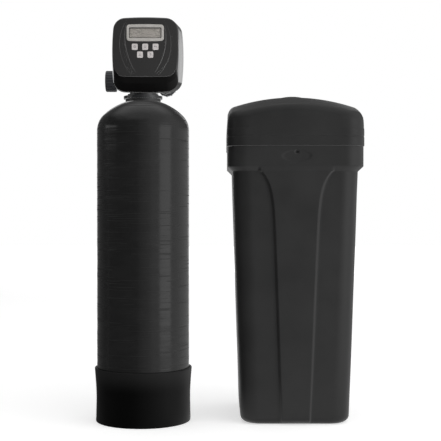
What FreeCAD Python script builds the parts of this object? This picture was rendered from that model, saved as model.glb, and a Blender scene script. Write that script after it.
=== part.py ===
import FreeCAD, Part
import math
import os
from types import SimpleNamespace

import Sketcher

# Whole house water filter: a wound glass-fibre pressure vessel standing in a boot, a piston
# type control valve with its gear drive, meter and bypass on the vessel's neck, and the brine
# tank that feeds it. Millimetres. +Z is up, -Y is the front, +X is the side of the brine tank.
# The origin is the middle of the vessel boot's foot, on the floor.

SIZES = {
    # Fits: a slack seat, a seal or pin that fits closely, and a shaft that runs in a bore
    "slack": 0.3,
    "close_fit": 0.1,
    "running_fit": 0.05,

    # Pressure vessel, its wound wrap, its liner and its boot
    "vessel_radius": 128.5,
    "vessel_height": 889,
    "vessel_lift": 8,
    "crown_radius": 158,
    "knuckle_radius": 60,
    "wrap_wall": 3.5,
    "liner_wall": 4,
    "collar_radius": 49,
    "neck_bore_radius": 36.5,
    "neck_skirt_radius": 44,
    "neck_skirt_length": 27,
    "boot_height": 150,
    "boot_foot_radius": 132,
    "boot_mouth_radius": 135.6,
    "boot_floor": 5,
    "boot_edge": 3,
    "boot_seat_radius": 62,
    "boot_seat_width": 8,

    # Riser, distributors and the beds in the vessel
    "riser_radius": 13.35,
    "riser_wall": 2.5,
    "riser_foot": 12,
    "basket_radius": 28,
    "basket_wall": 3,
    "basket_height": 88,
    "basket_floor_height": 18.8,
    "upper_basket_radius": 33,
    "upper_basket_height": 30,
    "slot_width": 1.2,
    "slot_margin": 9,
    "slot_pairs": 8,
    "gravel_top": 110,
    "media_top": 640,

    # Control valve body: flange and spigot on the neck, barrel, cross tube and ports
    "flange_radius": 54,
    "flange_thick": 8,
    "spigot_length": 25,
    "hub_collar_radius": 43,
    "hub_collar_height": 5.5,
    "hub_radius": 37,
    "hub_height": 25,
    "hub_roof": 5,
    "flow_hole_radius": 5,
    "flow_hole_circle": 24.5,
    "flow_hole_count": 6,
    "valve_across": 14,
    "barrel_rise": 54,
    "barrel_radius": 38,
    "barrel_bore_radius": 30,
    "barrel_front": 38,
    "barrel_back": 70,
    "bore_back": 62,
    "cross_radius": 20,
    "cross_back": 30,
    "water_bore_radius": 13,
    "port_spread": 44,
    "port_back": 95,
    "cross_left": 64,
    "cross_right": 62,
    "seal_thick": 4.8,
    "riser_seal_thick": 3.2,
    "riser_seal_height": 882,

    # Bosses on the valve body for the injector, the refill elbow and the drain elbow
    "injector_back": 20,
    "injector_boss_radius": 15,
    "injector_boss_rise": 49,
    "injector_bore_radius": 8,
    "injector_bore_depth": 19,
    "injector_cap_radius": 16,
    "injector_cap_height": 15,
    "injector_cap_fins": 12,
    "fin_radius": 1.6,
    "nozzle_height": 18,
    "nozzle_hole_radius": 1.5,
    "elbow_back": 32,
    "elbow_boss_rise": 34,
    "refill_left": 40,
    "refill_boss_radius": 11,
    "refill_spigot_radius": 6.7,
    "refill_stem_radius": 9,
    "refill_arm_radius": 8,
    "refill_arm_length": 30,
    "refill_arm_rise": 21,
    "tube_socket_radius": 4.85,
    "tube_socket_depth": 16,
    "drain_right": 42,
    "drain_boss_radius": 14,
    "drain_spigot_radius": 9.7,
    "drain_stem_radius": 12,
    "drain_arm_radius": 13.35,
    "drain_arm_length": 48,
    "drain_arm_rise": 17,
    "drain_root_length": 14,
    "drain_root_step": 1.4,
    "drain_bore_radius": 9,
    "elbow_spigot_length": 14,
    "elbow_hole_radius": 3,
    "clip_thick": 1.5,
    "clip_width": 3,
    "clip_mouth": 12,

    # Piston, its stack of spacers and seals, and the cap that the drive gear turns in
    "spacer_radius": 29.7,
    "spacer_bore_radius": 20,
    "spacer_length": 14.75,
    "spacer_count": 4,
    "stack_seal_length": 2.4,
    "piston_radius": 15.8,
    "piston_length": 28,
    "piston_rest": 8,
    "piston_groove_depth": 4,
    "rod_radius": 5,
    "rod_front": 57,
    "cap_flange_radius": 33,
    "cap_flange_thick": 6,
    "sleeve_radius": 9.2,
    "sleeve_back": 10,

    # Gears: module, teeth and the planes that they run in, measured forward of the valve axis
    "tooth_module": 1,
    "pinion_teeth": 12,
    "wheel_teeth": 36,
    "drive_teeth": 72,
    "drive_gear_front": 52,
    "drive_gear_back": 46,
    "first_plane_back": 79,
    "plane_pitch": 6,
    "gear_thick": 5,
    "pin_radius": 1.5,
    "tooth_tip": 0.75,
    "tooth_root": 1.15,
    "backlash": 0.2,
    "third_gear_turn": 120,
    "second_gear_turn": 150,
    "first_gear_turn": 60,
    "motor_turn": 30,
    "boss_radius": 3.5,

    # Plates that carry the drive, the motor and the board
    "back_plate_front": 42,
    "back_plate_thick": 4,
    "back_plate_width": 176,
    "back_plate_top": 1096,
    "back_plate_bottom": 916.2,
    "back_plate_corner": 37,
    "plate_corner": 18,
    "lug_height": 24,
    "bracket_front": 62,
    "bracket_thick": 4,
    "bracket_width": 158,
    "bracket_top": 1090,
    "bracket_bottom": 942,
    "post_spread": 144,
    "post_radius": 4,
    "board_post_radius": 3,
    "low_post_height": 990,
    "high_post_height": 1083,
    "screw_radius": 1.5,
    "screw_head_radius": 3.2,
    "screw_head_thick": 2,
    "screw_length": 12,
    "motor_radius": 14,
    "motor_length": 33,
    "shaft_radius": 2,
    "shaft_length": 10,
    "gear_cover_front": 90,
    "gear_cover_wall": 3,
    "gear_cover_margin": 4,
    "gear_cover_corner": 10,

    # Board, switches and display behind the face
    "board_front": 98,
    "board_thick": 1.6,
    "board_width": 146,
    "board_bottom": 985,
    "board_top": 1091,
    "switch_size": 6,
    "switch_height": 3.5,

    # Head cover: rear, middle, shoulder and front sections, each with width, height and centre
    "cover_wall": 3,
    "cover_rear": 12,
    "cover_rear_width": 199,
    "cover_rear_height": 198,
    "cover_rear_centre": 1012,
    "cover_middle": 85,
    "cover_middle_width": 184,
    "cover_middle_height": 201,
    "cover_middle_centre": 1008.5,
    "cover_shoulder": 106,
    "cover_shoulder_width": 179,
    "cover_shoulder_height": 178,
    "cover_shoulder_centre": 1018,
    "cover_front": 113,
    "cover_front_width": 173,
    "cover_front_height": 158,
    "cover_front_centre": 1024.5,
    "cover_corner": 33,
    "side_bulge": 620,
    "top_bulge": 900,

    # Face plate, display frame, window and buttons
    "face_width": 168,
    "face_height": 155,
    "face_thick": 1.2,
    "face_corner": 28,
    "ridge_thick": 0.9,
    "ridge_foot": 31,
    "ridge_foot_height": 955,
    "ridge_head": 52,
    "ridge_head_height": 1098,
    "ridge_lip": 50,
    "ridge_lip_height": 1085,
    "ridge_outer_curve": 100,
    "ridge_inner_curve": 130,
    "frame_width": 100,
    "frame_height": 43,
    "frame_thick": 2.2,
    "frame_corner": 7,
    "frame_centre": 1064,
    "window_width": 86,
    "window_height": 27,
    "window_thick": 2.6,
    "window_sink": 1,
    "window_corner": 2,
    "button_width": 15.4,
    "button_height": 16.5,
    "button_corner": 3,
    "button_proud": 2,
    "button_travel": 1.5,
    "button_flange": 1.8,
    "button_stem_radius": 2.5,
    "button_pitch": 28,
    "upper_button_row": 1026.3,
    "lower_button_row": 1005.2,

    # Water meter on the left end of the cross tube
    "meter_radius": 22,
    "meter_length": 52,
    "meter_bore_radius": 16,
    "meter_end_wall": 4,
    "meter_web": 4,
    "meter_window_radius": 4,
    "turbine_radius": 15.6,
    "turbine_hub_radius": 5,
    "turbine_length": 24,
    "turbine_vanes": 6,
    "vane_thick": 1.4,
    "axle_radius": 2,
    "meter_nut_radius": 28.8,
    "meter_nut_length": 30,
    "meter_nut_end_wall": 5,
    "nut_ribs": 24,
    "rib_radius": 1.8,

    # Bypass valve behind the ports, its handles, nuts, seals and pipe connectors
    "seal_washer_thick": 2,
    "bypass_length": 63,
    "bypass_cross_radius": 15,
    "rotor_seat_radius": 17,
    "rotor_seat_rise": 32,
    "rotor_radius": 13.1,
    "rotor_drop": 14,
    "rotor_hole_radius": 9,
    "handle_length": 58,
    "handle_width": 16,
    "handle_height": 12,
    "handle_lift": 2,
    "nut_radius": 27.5,
    "nut_length": 20,
    "coupling_ribs": 12,
    "connector_radius": 16.7,
    "connector_flange": 4,
    "connector_length": 55,

    # Brine tank
    "tank_across": 422,
    "tank_back": 97,
    "tank_foot_width": 301,
    "tank_foot_depth": 346,
    "tank_top_width": 344,
    "tank_top_depth": 396,
    "tank_wall_height": 696,
    "tank_wall": 5,
    "tank_corner": 50,
    "tank_foot_edge": 21,
    "rim_width": 372,
    "rim_depth": 424,
    "rim_height": 65.5,
    "rim_corner": 54,
    "rim_chamfer": 10,
    "lip_height": 20,
    "lip_wall": 4,
    "panel_proud": 8,
    "panel_foot_width": 80,
    "panel_waist_width": 120,
    "panel_waist_height": 535,
    "panel_neck_width": 132,
    "panel_neck_height": 640,
    "panel_head_width": 200,
    "recess_width": 87,
    "recess_height": 33,
    "recess_depth": 2,
    "recess_middle": 734,
    "tube_hole_radius": 5,
    "tube_hole_height": 744.6,

    # Lid of the brine tank
    "lid_width": 376,
    "lid_depth": 428,
    "lid_wall": 5,
    "lid_corner": 54,
    "lid_crest": 148.5,
    "lid_side_edge": 113.5,
    "lid_front_crest": 107.5,
    "lid_corner_edge": 84.5,
    "lid_groove_rise": 25,
    "lid_groove_width": 3,
    "lid_groove_depth": 1.5,
    "lid_knob_radius": 38,
    "lid_knob_slope": 14,
    "lid_knob_rise": 4,

    # Well, salt grid, float and overflow in the brine tank
    "well_across": 490,
    "well_back": 190,
    "well_radius": 50,
    "well_wall": 3,
    "well_height": 740,
    "well_cap_height": 12,
    "well_cap_wall": 3,
    "well_hole_radius": 6,
    "well_hole_height": 60,
    "grid_height": 100,
    "grid_thick": 5,
    "grid_hole_radius": 4,
    "grid_hole_pitch": 22,
    "grid_hole_columns": 7,
    "grid_hole_rows": 12,
    "grid_leg_radius": 14,
    "air_check_radius": 14,
    "air_check_height": 74,
    "brine_tube_radius": 6,
    "brine_tube_height": 690,
    "float_rod_radius": 2.4,
    "float_rod_height": 560,
    "float_height": 60,
    "float_middle": 430,
    "float_apart": 24,
    "guide_thick": 4,
    "overflow_height": 640,
    "overflow_offset": 24,
    "overflow_radius": 9,
    "overflow_bore_radius": 6.5,
    "overflow_flange_radius": 15,
    "overflow_flange_thick": 4,
    "overflow_arm_length": 30,
    "overflow_thread_length": 20,
    "overflow_nut_radius": 15,
    "overflow_nut_thick": 8,
}

doc = FreeCAD.newDocument("WholeHouseWaterFilter")
sheet = doc.addObject("Spreadsheet::Sheet", "Sizes")
for row, (alias, number) in enumerate(SIZES.items(), start=1):
    sheet.set(f"A{row}", alias)
    sheet.set(f"B{row}", str(number))
    sheet.setAlias(f"B{row}", alias)
doc.recompute()


class Size:
    """A size that knows its value and the formula that gives it from the sheet."""

    def __init__(self, value, formula):
        self.value = float(value)
        self.formula = formula

    def joined(self, sign, other, value):
        return Size(value, f"({self.formula} {sign} {other.formula})")

    def __add__(self, other):
        other = as_size(other)
        return self.joined("+", other, self.value + other.value)

    def __sub__(self, other):
        other = as_size(other)
        return self.joined("-", other, self.value - other.value)

    def __mul__(self, other):
        other = as_size(other)
        return self.joined("*", other, self.value * other.value)

    def __truediv__(self, other):
        other = as_size(other)
        return self.joined("/", other, self.value / other.value)

    def __radd__(self, other):
        return as_size(other) + self

    def __rsub__(self, other):
        return as_size(other) - self

    def __rmul__(self, other):
        return as_size(other) * self

    def __neg__(self):
        return Size(-self.value, f"(0 - {self.formula})")


def as_size(number):
    return number if isinstance(number, Size) else Size(number, f"({float(number)!r})")


def root(size):
    return Size(math.sqrt(size.value), f"sqrt({size.formula})")


# Every size by its name, read back from the sheet
s = SimpleNamespace(**{name: Size(sheet.get(name), f"Sizes.{name}") for name in SIZES})

TURNS = {
    "z": FreeCAD.Rotation(),
    "-z": FreeCAD.Rotation(FreeCAD.Vector(1, 0, 0), 180),
    "x": FreeCAD.Rotation(FreeCAD.Vector(0, 1, 0), 90),
    "-x": FreeCAD.Rotation(FreeCAD.Vector(0, 1, 0), -90),
    "y": FreeCAD.Rotation(FreeCAD.Vector(1, 0, 0), -90),
    "-y": FreeCAD.Rotation(FreeCAD.Vector(1, 0, 0), 90),
}
nodes = []


def bind(thing, **sizes):
    """Binds properties of an object to sizes."""
    for name, size in sizes.items():
        thing.setExpression(name, as_size(size).formula)
    return thing


def place(thing, x=0, y=0, z=0, along="z"):
    """Puts an object at a place that follows the sizes, with its own Z turned along an axis."""
    corner = [as_size(part) for part in (x, y, z)]
    base = FreeCAD.Vector(*[part.value for part in corner])
    thing.Placement = FreeCAD.Placement(base, TURNS[along])
    for letter, part in zip("xyz", corner):
        thing.setExpression(f"Placement.Base.{letter}", part.formula)
    return thing


def rod(radius, length, x=0, y=0, z=0, along="z"):
    solid = doc.addObject("Part::Cylinder", "Rod")
    return place(bind(solid, Radius=radius, Height=length), x, y, z, along)


def cone(low_radius, high_radius, length, x=0, y=0, z=0, along="z"):
    solid = doc.addObject("Part::Cone", "Cone")
    return place(bind(solid, Radius1=low_radius, Radius2=high_radius, Height=length), x, y, z, along)


def block(width, depth, height, x=0, y=0, z=0):
    """A box whose middle is at x and y, and whose underside is at z."""
    solid = bind(doc.addObject("Part::Box", "Block"), Length=width, Width=depth, Height=height)
    return place(solid, x - as_size(width) / 2, y - as_size(depth) / 2, z)


def ring(tube, across, x=0, y=0, z=0, along="z"):
    """A round seal: tube is the radius of its cord, across the radius to the cord's middle."""
    solid = doc.addObject("Part::Torus", "Ring")
    return place(bind(solid, Radius1=across, Radius2=tube), x, y, z, along)


def fuse(*solids):
    if len(solids) == 1:
        return solids[0]
    joined = doc.addObject("Part::MultiFuse", "Joined")
    joined.Shapes = list(solids)
    return joined


def common(*solids):
    shared = doc.addObject("Part::MultiCommon", "Shared")
    shared.Shapes = list(solids)
    return shared


def cut(solid, *tools):
    result = doc.addObject("Part::Cut", "Cut")
    result.Base = solid
    result.Tool = fuse(*tools)
    return result


def group(*solids):
    """Separate pieces that share one node, such as like screws."""
    pieces = doc.addObject("Part::Compound", "Group")
    pieces.Links = list(solids)
    return pieces


def node(name, thing):
    """Names a finished sub-part. The name is also its file's."""
    thing.Label = name
    nodes.append(thing)
    return thing


def polar(radius, degrees):
    """X and Y of a point on a circle, from its radius and angle."""
    turn = math.radians(degrees)
    return radius * math.cos(turn), radius * math.sin(turn)


def arc_between(start, end, radius):
    """The arc from start to end that turns left with a positive radius, right with a negative."""
    first, last = (start, end) if radius > 0 else (end, start)
    chord = last - first
    side = FreeCAD.Vector(-chord.y, chord.x, 0).normalize()
    reach = math.sqrt(max(radius ** 2 - (chord.Length / 2) ** 2, 0))
    centre = (first + last) / 2 + side * reach
    turns = [math.atan2(point.y - centre.y, point.x - centre.x) for point in (first, last)]
    if turns[1] < turns[0]:
        turns[1] += 2 * math.pi
    circle = Part.Circle(centre, FreeCAD.Vector(0, 0, 1), abs(radius))
    return Part.ArcOfCircle(circle, *turns)


def outline(sketch, points):
    """Draws a closed outline. A point is (x, y), or (x, y, radius) where the side that ends
    there is an arc: a positive radius turns left, a negative one right."""
    corners = [tuple(as_size(part) for part in point) for point in points]
    spots = [FreeCAD.Vector(point[0].value, point[1].value, 0) for point in corners]
    sides = []
    for index, point in enumerate(corners):
        start, end = spots[index - 1], spots[index]
        if len(point) == 2:
            side = sketch.addGeometry(Part.LineSegment(start, end), False)
            sides.append((side, 1, 2))
        else:
            bend = point[2]
            side = sketch.addGeometry(arc_between(start, end, bend.value), False)
            radius = sketch.addConstraint(Sketcher.Constraint("Radius", side, abs(bend.value)))
            sketch.setExpression(f"Constraints[{radius}]", f"abs({bend.formula})")
            sides.append((side, 1, 2) if bend.value > 0 else (side, 2, 1))
    for index, point in enumerate(corners):
        here, first, last = sides[index]
        following, start, _ = sides[(index + 1) % len(sides)]
        sketch.addConstraint(Sketcher.Constraint("Coincident", here, last, following, start))
        for kind, size in zip(("DistanceX", "DistanceY"), point):
            rule = sketch.addConstraint(Sketcher.Constraint(kind, -1, 1, here, last, size.value))
            sketch.setExpression(f"Constraints[{rule}]", size.formula)


def circle(sketch, x, y, radius):
    """Draws a circle whose middle and radius follow the sizes."""
    x, y, radius = as_size(x), as_size(y), as_size(radius)
    spot = FreeCAD.Vector(x.value, y.value, 0)
    edge = sketch.addGeometry(Part.Circle(spot, FreeCAD.Vector(0, 0, 1), radius.value), False)
    rules = (
        (Sketcher.Constraint("DistanceX", -1, 1, edge, 3, x.value), x),
        (Sketcher.Constraint("DistanceY", -1, 1, edge, 3, y.value), y),
        (Sketcher.Constraint("Radius", edge, radius.value), radius),
    )
    for rule, size in rules:
        sketch.setExpression(f"Constraints[{sketch.addConstraint(rule)}]", size.formula)


def rounded(half_width, half_height, corner, x=0, y=0):
    """Points of a rectangle with round corners, about a middle at x and y."""
    points = []
    for across, up in ((1, 1), (-1, 1), (-1, -1), (1, -1)):
        side = (x + across * half_width, y + up * (half_height - corner))
        end = (x + across * (half_width - corner), y + up * half_height)
        first, last = (side, end) if across == up else (end, side)
        points += [first, (*last, corner)]
    return points


def backwards(points):
    """The same line of points and arcs, run from its end to its start."""
    radii = [point[2] if len(point) == 3 else None for point in points]
    back = [tuple(points[-1][:2])]
    for point, radius in zip(points[-2::-1], radii[:0:-1]):
        back.append(tuple(point[:2]) if radius is None else (*point[:2], -radius))
    return back


def new_body(name):
    return doc.addObject("PartDesign::Body", name)


def sketch_on(body, plane, offset=0):
    """An empty sketch on one of the body's planes, moved along the plane's normal."""
    sketch = body.newObject("Sketcher::SketchObject", "Outline")
    sketch.AttachmentSupport = [
        (face, "") for face in body.Origin.OriginFeatures if face.Role == plane
    ]
    sketch.MapMode = "FlatFace"
    offset = as_size(offset)
    sketch.AttachmentOffset = FreeCAD.Placement(
        FreeCAD.Vector(0, 0, offset.value), FreeCAD.Rotation()
    )
    sketch.setExpression("AttachmentOffset.Base.z", offset.formula)
    return sketch


def turned(points, x=0, y=0, z=0, along="z"):
    """A body turned on a lathe: its points are distance from the axis, and place along it."""
    body = new_body("Turned")
    sketch = sketch_on(body, "XZ_Plane")
    outline(sketch, points)
    spun = body.newObject("PartDesign::Revolution", "Revolution")
    spun.Profile = sketch
    spun.ReferenceAxis = (sketch, ["V_Axis"])
    spun.Angle = 360
    return place(body, x, y, z, along)


def plate(outlines, thick, x=0, y=0, z=0, along="z", holes=()):
    """A body cut from flat stock: closed outlines and round holes, given a thickness."""
    body = new_body("Plate")
    sketch = sketch_on(body, "XY_Plane")
    for points in outlines:
        outline(sketch, points)
    for hole in holes:
        circle(sketch, *hole)
    pad = body.newObject("PartDesign::Pad", "Pad")
    pad.Profile = sketch
    bind(pad, Length=thick)
    return place(body, x, y, z, along)


def tube(outer, inner, length, x=0, y=0, z=0, along="z"):
    """A plain tube or washer, from a round section with a round hole."""
    return plate([], length, x, y, z, along, holes=((0, 0, outer), (0, 0, inner)))



# Heights that the vessel gives to what stands on it
vessel_top = s.vessel_lift + s.vessel_height
low_crown_centre = s.vessel_lift + s.crown_radius
high_crown_centre = vessel_top - s.crown_radius
knuckle_reach = s.crown_radius - s.knuckle_radius
knuckle_across = s.vessel_radius - s.knuckle_radius
knuckle_rise = root(knuckle_reach * knuckle_reach - knuckle_across * knuckle_across)
liner_inset = s.wrap_wall + s.slack
bed_inset = liner_inset + s.liner_wall + s.slack


def crown_height(inset, across):
    """How far the domed end's surface, set in by inset, lies from its centre at a radius."""
    crown = s.crown_radius - inset
    return root(crown * crown - across * across)


def lower_dome(inset):
    """The vessel's round foot, set in by inset, from the axis out to its straight wall."""
    crown = s.crown_radius - inset
    across = crown * knuckle_across / knuckle_reach
    drop = crown * knuckle_rise / knuckle_reach
    return [
        (0, low_crown_centre - crown),
        (across, low_crown_centre - drop, crown),
        (s.vessel_radius - inset, low_crown_centre - knuckle_rise, s.knuckle_radius - inset),
    ]


def upper_dome(inset, neck):
    """The vessel's round shoulder, from its straight wall in to the neck's radius."""
    crown = s.crown_radius - inset
    across = crown * knuckle_across / knuckle_reach
    rise = crown * knuckle_rise / knuckle_reach
    return [
        (s.vessel_radius - inset, high_crown_centre + knuckle_rise),
        (across, high_crown_centre + rise, s.knuckle_radius - inset),
        (neck, high_crown_centre + crown_height(inset, neck), crown),
    ]


def make_boot():
    """Moulded rubber boot: a tapered cup with a ring in its floor that the round foot sits on."""
    seat_out = s.boot_seat_radius + s.boot_seat_width / 2
    seat_in = s.boot_seat_radius - s.boot_seat_width / 2
    mouth = s.vessel_radius + s.slack
    seat_curve = s.crown_radius + s.slack
    node("vessel_boot", turned([
        (0, 0),
        (s.boot_foot_radius - s.boot_edge, 0),
        (s.boot_foot_radius, s.boot_edge, s.boot_edge),
        (s.boot_mouth_radius, s.boot_height - s.boot_edge),
        (s.boot_mouth_radius - s.boot_edge, s.boot_height, s.boot_edge),
        (mouth, s.boot_height),
        (mouth, s.boot_floor),
        (seat_out, s.boot_floor),
        (seat_out, low_crown_centre - crown_height(-s.slack, seat_out)),
        (seat_in, low_crown_centre - crown_height(-s.slack, seat_in), -seat_curve),
        (seat_in, s.boot_floor),
        (0, s.boot_floor),
    ]))


def make_vessel():
    """The wound glass-fibre wrap, and the blow-moulded liner with its threaded neck inside it."""
    wrap_hole = s.collar_radius + s.slack
    outside = lower_dome(0) + upper_dome(0, wrap_hole)
    inside = lower_dome(s.wrap_wall) + upper_dome(s.wrap_wall, wrap_hole)
    node("vessel_shell", turned(outside + backwards(inside)))

    seal_seat = s.neck_bore_radius + s.seal_thick + s.close_fit
    seat_floor = vessel_top - s.seal_thick - s.slack
    skirt_end = vessel_top - s.neck_skirt_length
    liner_back = liner_inset + s.liner_wall
    outside = lower_dome(liner_inset) + upper_dome(liner_inset, s.collar_radius)
    inside = lower_dome(liner_back) + upper_dome(liner_back, s.neck_skirt_radius)
    neck = [
        (s.collar_radius, vessel_top),
        (seal_seat, vessel_top),
        (seal_seat, seat_floor),
        (s.neck_bore_radius, seat_floor),
        (s.neck_bore_radius, skirt_end),
        (s.neck_skirt_radius, skirt_end),
    ]
    node("vessel_liner", turned(outside + neck + backwards(inside)))


def slots(radius, height, z):
    """Thin blades across a basket that cut its ring of slots."""
    blades = []
    for index in range(round(s.slot_pairs.value)):
        blade = block(radius * 2 + s.slack, s.slot_width, height, z=z)
        turn = FreeCAD.Rotation(FreeCAD.Vector(0, 0, 1), 180 * index / s.slot_pairs.value)
        corner = turn.multVec(blade.Placement.Base)
        for letter in "xy":
            blade.setExpression(f"Placement.Base.{letter}", None)
        blade.Placement = FreeCAD.Placement(corner, turn)
        blades.append(blade)
    return blades


def make_riser():
    """The riser tube, with a slotted basket at its foot and another under the valve."""
    riser_low = s.basket_floor_height + s.riser_foot
    riser_top = vessel_top + s.flange_thick
    inner = s.riser_radius - s.riser_wall
    node("riser_tube", tube(s.riser_radius, inner, riser_top - riser_low, z=riser_low))

    floor = s.basket_floor_height
    top = floor + s.basket_height
    inside = s.basket_radius - s.basket_wall
    hole = s.riser_radius + s.close_fit
    basket = turned([
        (0, floor), (s.basket_radius, floor), (s.basket_radius, top), (hole, top),
        (hole, top - s.basket_wall), (inside, top - s.basket_wall),
        (inside, floor + s.basket_wall), (0, floor + s.basket_wall),
    ])
    tall = s.basket_height - s.slot_margin * 2
    node("lower_distributor", cut(basket, *slots(s.basket_radius, tall, floor + s.slot_margin)))

    top = vessel_top - s.spigot_length
    floor = top - s.upper_basket_height
    inside = s.upper_basket_radius - s.basket_wall
    hole = s.riser_radius + s.slack
    basket = turned([
        (hole, floor), (s.upper_basket_radius, floor), (s.upper_basket_radius, top),
        (inside, top), (inside, floor + s.basket_wall), (hole, floor + s.basket_wall),
    ])
    tall = s.upper_basket_height - s.slot_margin * 2
    blades = slots(s.upper_basket_radius, tall, floor + s.slot_margin)
    node("upper_distributor", cut(basket, *blades))


def make_beds():
    """Gravel round the lower basket, and the filter media on the gravel."""
    hole = s.basket_radius + s.slack
    wall = s.vessel_radius - bed_inset
    foot = lower_dome(bed_inset)
    low = low_crown_centre - crown_height(bed_inset, hole)
    node("gravel_bed", turned([(hole, low), *foot[1:], (wall, s.gravel_top), (hole, s.gravel_top)]))
    depth = s.media_top - s.gravel_top
    node("filter_media", tube(wall, s.riser_radius + s.slack, depth, z=s.gravel_top))


# Middle of the valve's barrel, and of the ports and bosses beside it
barrel_height = vessel_top + s.barrel_rise
port_places = [s.valve_across - s.port_spread, s.valve_across + s.port_spread]
cross_left_end = s.valve_across - s.cross_left
refill_across = s.valve_across - s.refill_left
drain_across = s.valve_across + s.drain_right
elbow_seat = barrel_height + s.elbow_boss_rise
injector_seat = barrel_height + s.injector_boss_rise
spigot_radius = s.neck_bore_radius - s.slack


def cross_bores():
    """The water's two ways between the barrel and the cross tube."""
    right_start = s.valve_across + s.barrel_bore_radius - s.basket_wall
    left = rod(s.water_bore_radius, s.cross_left, cross_left_end, s.cross_back, barrel_height,
               "x")
    right = rod(s.water_bore_radius, port_places[1] - right_start, right_start, s.cross_back,
                barrel_height, "x")
    return left, right


def make_valve_body():
    """The moulded valve body: flange and spigot on the neck, hub, and the piston's barrel."""
    spigot_low = vessel_top - s.spigot_length
    barrel_long = s.barrel_front + s.barrel_back
    outside = [
        rod(s.flange_radius, s.flange_thick, z=vessel_top),
        rod(s.hub_collar_radius, s.hub_collar_height, z=vessel_top + s.flange_thick),
        rod(s.hub_radius, s.hub_height, z=vessel_top + s.flange_thick),
        rod(spigot_radius, s.spigot_length, z=spigot_low),
        rod(s.barrel_radius, barrel_long, s.valve_across, -s.barrel_front, barrel_height, "y"),
        rod(s.injector_boss_radius, s.injector_boss_rise, s.valve_across, s.injector_back,
            barrel_height),
    ]

    bore_long = s.barrel_front + s.bore_back
    riser_bore = s.riser_radius + s.close_fit
    seal_seat = riser_bore + s.riser_seal_thick
    hollows = [
        rod(s.barrel_bore_radius, bore_long, s.valve_across, -s.barrel_front, barrel_height, "y"),
        rod(riser_bore, barrel_height - spigot_low, z=spigot_low),
        rod(seal_seat, s.riser_seal_thick + s.close_fit * 2,
            z=s.riser_seal_height - s.riser_seal_thick / 2 - s.close_fit),
        *cross_bores(),
        rod(s.injector_bore_radius, s.injector_bore_depth, s.valve_across, s.injector_back,
            injector_seat - s.injector_bore_depth),
    ]
    flow_long = s.spigot_length + s.flange_thick + s.hub_height - s.hub_roof
    for index in range(round(s.flow_hole_count.value)):
        turn = 360 * index / s.flow_hole_count.value
        x, y = polar(s.flow_hole_circle, turn)
        hollows.append(rod(s.flow_hole_radius, flow_long, x, y, spigot_low))
    node("valve_body", cut(fuse(*outside), *hollows))


def make_port_block():
    """The cross tube behind the barrel, with the two ports and the bosses of the elbows."""
    cross_long = s.cross_left + s.cross_right
    port_long = s.port_back - s.cross_back
    outside = [
        rod(s.cross_radius, cross_long, cross_left_end, s.cross_back, barrel_height, "x"),
        rod(s.refill_boss_radius, s.elbow_boss_rise, refill_across, s.elbow_back, barrel_height),
        rod(s.drain_boss_radius, s.elbow_boss_rise, drain_across, s.elbow_back, barrel_height),
    ]
    barrel = rod(s.barrel_radius, s.barrel_front + s.barrel_back, s.valve_across,
                 -s.barrel_front, barrel_height, "y")
    hollows = list(cross_bores())
    for across in port_places:
        outside.append(rod(s.cross_radius, port_long, across, s.cross_back, barrel_height, "y"))
        hollows.append(rod(s.water_bore_radius, port_long, across, s.cross_back,
                           barrel_height, "y"))
    behind_barrel = cut(fuse(*outside), barrel)
    deep = s.elbow_spigot_length + s.slack
    for across, spigot in ((refill_across, s.refill_spigot_radius),
                           (drain_across, s.drain_spigot_radius)):
        fit = spigot + s.close_fit
        hollows.append(rod(fit, deep, across, s.elbow_back, elbow_seat - deep))
        hollows.append(rod(s.elbow_hole_radius, s.elbow_boss_rise, across, s.elbow_back,
                           barrel_height))
    node("port_block", cut(behind_barrel, *hollows))


def make_neck_seals():
    """Two rubber rings: one seals the neck, the other the riser."""
    neck_tube = s.seal_thick / 2
    riser_tube = s.riser_seal_thick / 2
    riser_across = s.riser_radius + s.close_fit + riser_tube
    node("neck_seals", group(
        ring(neck_tube, s.neck_bore_radius + neck_tube, z=vessel_top - neck_tube - s.close_fit),
        ring(riser_tube, riser_across, z=s.riser_seal_height),
    ))


make_boot()
make_vessel()
make_riser()
make_beds()
make_valve_body()
make_port_block()
make_neck_seals()
doc.recompute()


def make_stack():
    """The cylinder's lining in the barrel: rubber seals with plastic spacers between them."""
    seals, spacers = [], []
    back = s.bore_back
    count = round(s.spacer_count.value)
    for index in range(count + 1):
        front = back - s.stack_seal_length
        washer = tube(s.spacer_radius, s.piston_radius + s.close_fit, s.stack_seal_length,
                      s.valve_across, front, barrel_height, "y")
        seals.append(washer)
        back = front
        if index < count:
            front = back - s.spacer_length
            spacers.append(tube(s.spacer_radius, s.spacer_bore_radius, s.spacer_length,
                                s.valve_across, front, barrel_height, "y"))
            back = front
    node("spacer_stack", group(*spacers))
    node("stack_seals", group(*seals))
    return -back


def make_piston():
    """The piston on its rod, which the drive gear's screw moves back and forth."""
    waist = s.piston_radius - s.piston_groove_depth
    third = s.piston_length / 3
    back = s.piston_length - s.piston_rest
    node("piston", turned([
        (0, -s.rod_front),
        (s.rod_radius, -s.rod_front),
        (s.rod_radius, -s.piston_rest),
        (s.piston_radius, -s.piston_rest),
        (s.piston_radius, third - s.piston_rest),
        (waist, third - s.piston_rest),
        (waist, third * 2 - s.piston_rest),
        (s.piston_radius, third * 2 - s.piston_rest),
        (s.piston_radius, back),
        (0, back),
    ], s.valve_across, 0, barrel_height, "y"))


def make_drive_cap(stack_front):
    """The cap that closes the barrel's front and is the bearing of the drive gear's sleeve."""
    bore = s.sleeve_radius + s.running_fit
    node("drive_cap", turned([
        (bore, -s.barrel_front - s.cap_flange_thick),
        (s.cap_flange_radius, -s.barrel_front - s.cap_flange_thick),
        (s.cap_flange_radius, -s.barrel_front),
        (s.spacer_radius, -s.barrel_front),
        (s.spacer_radius, -stack_front),
        (bore, -stack_front),
    ], s.valve_across, 0, barrel_height, "y"))


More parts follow.
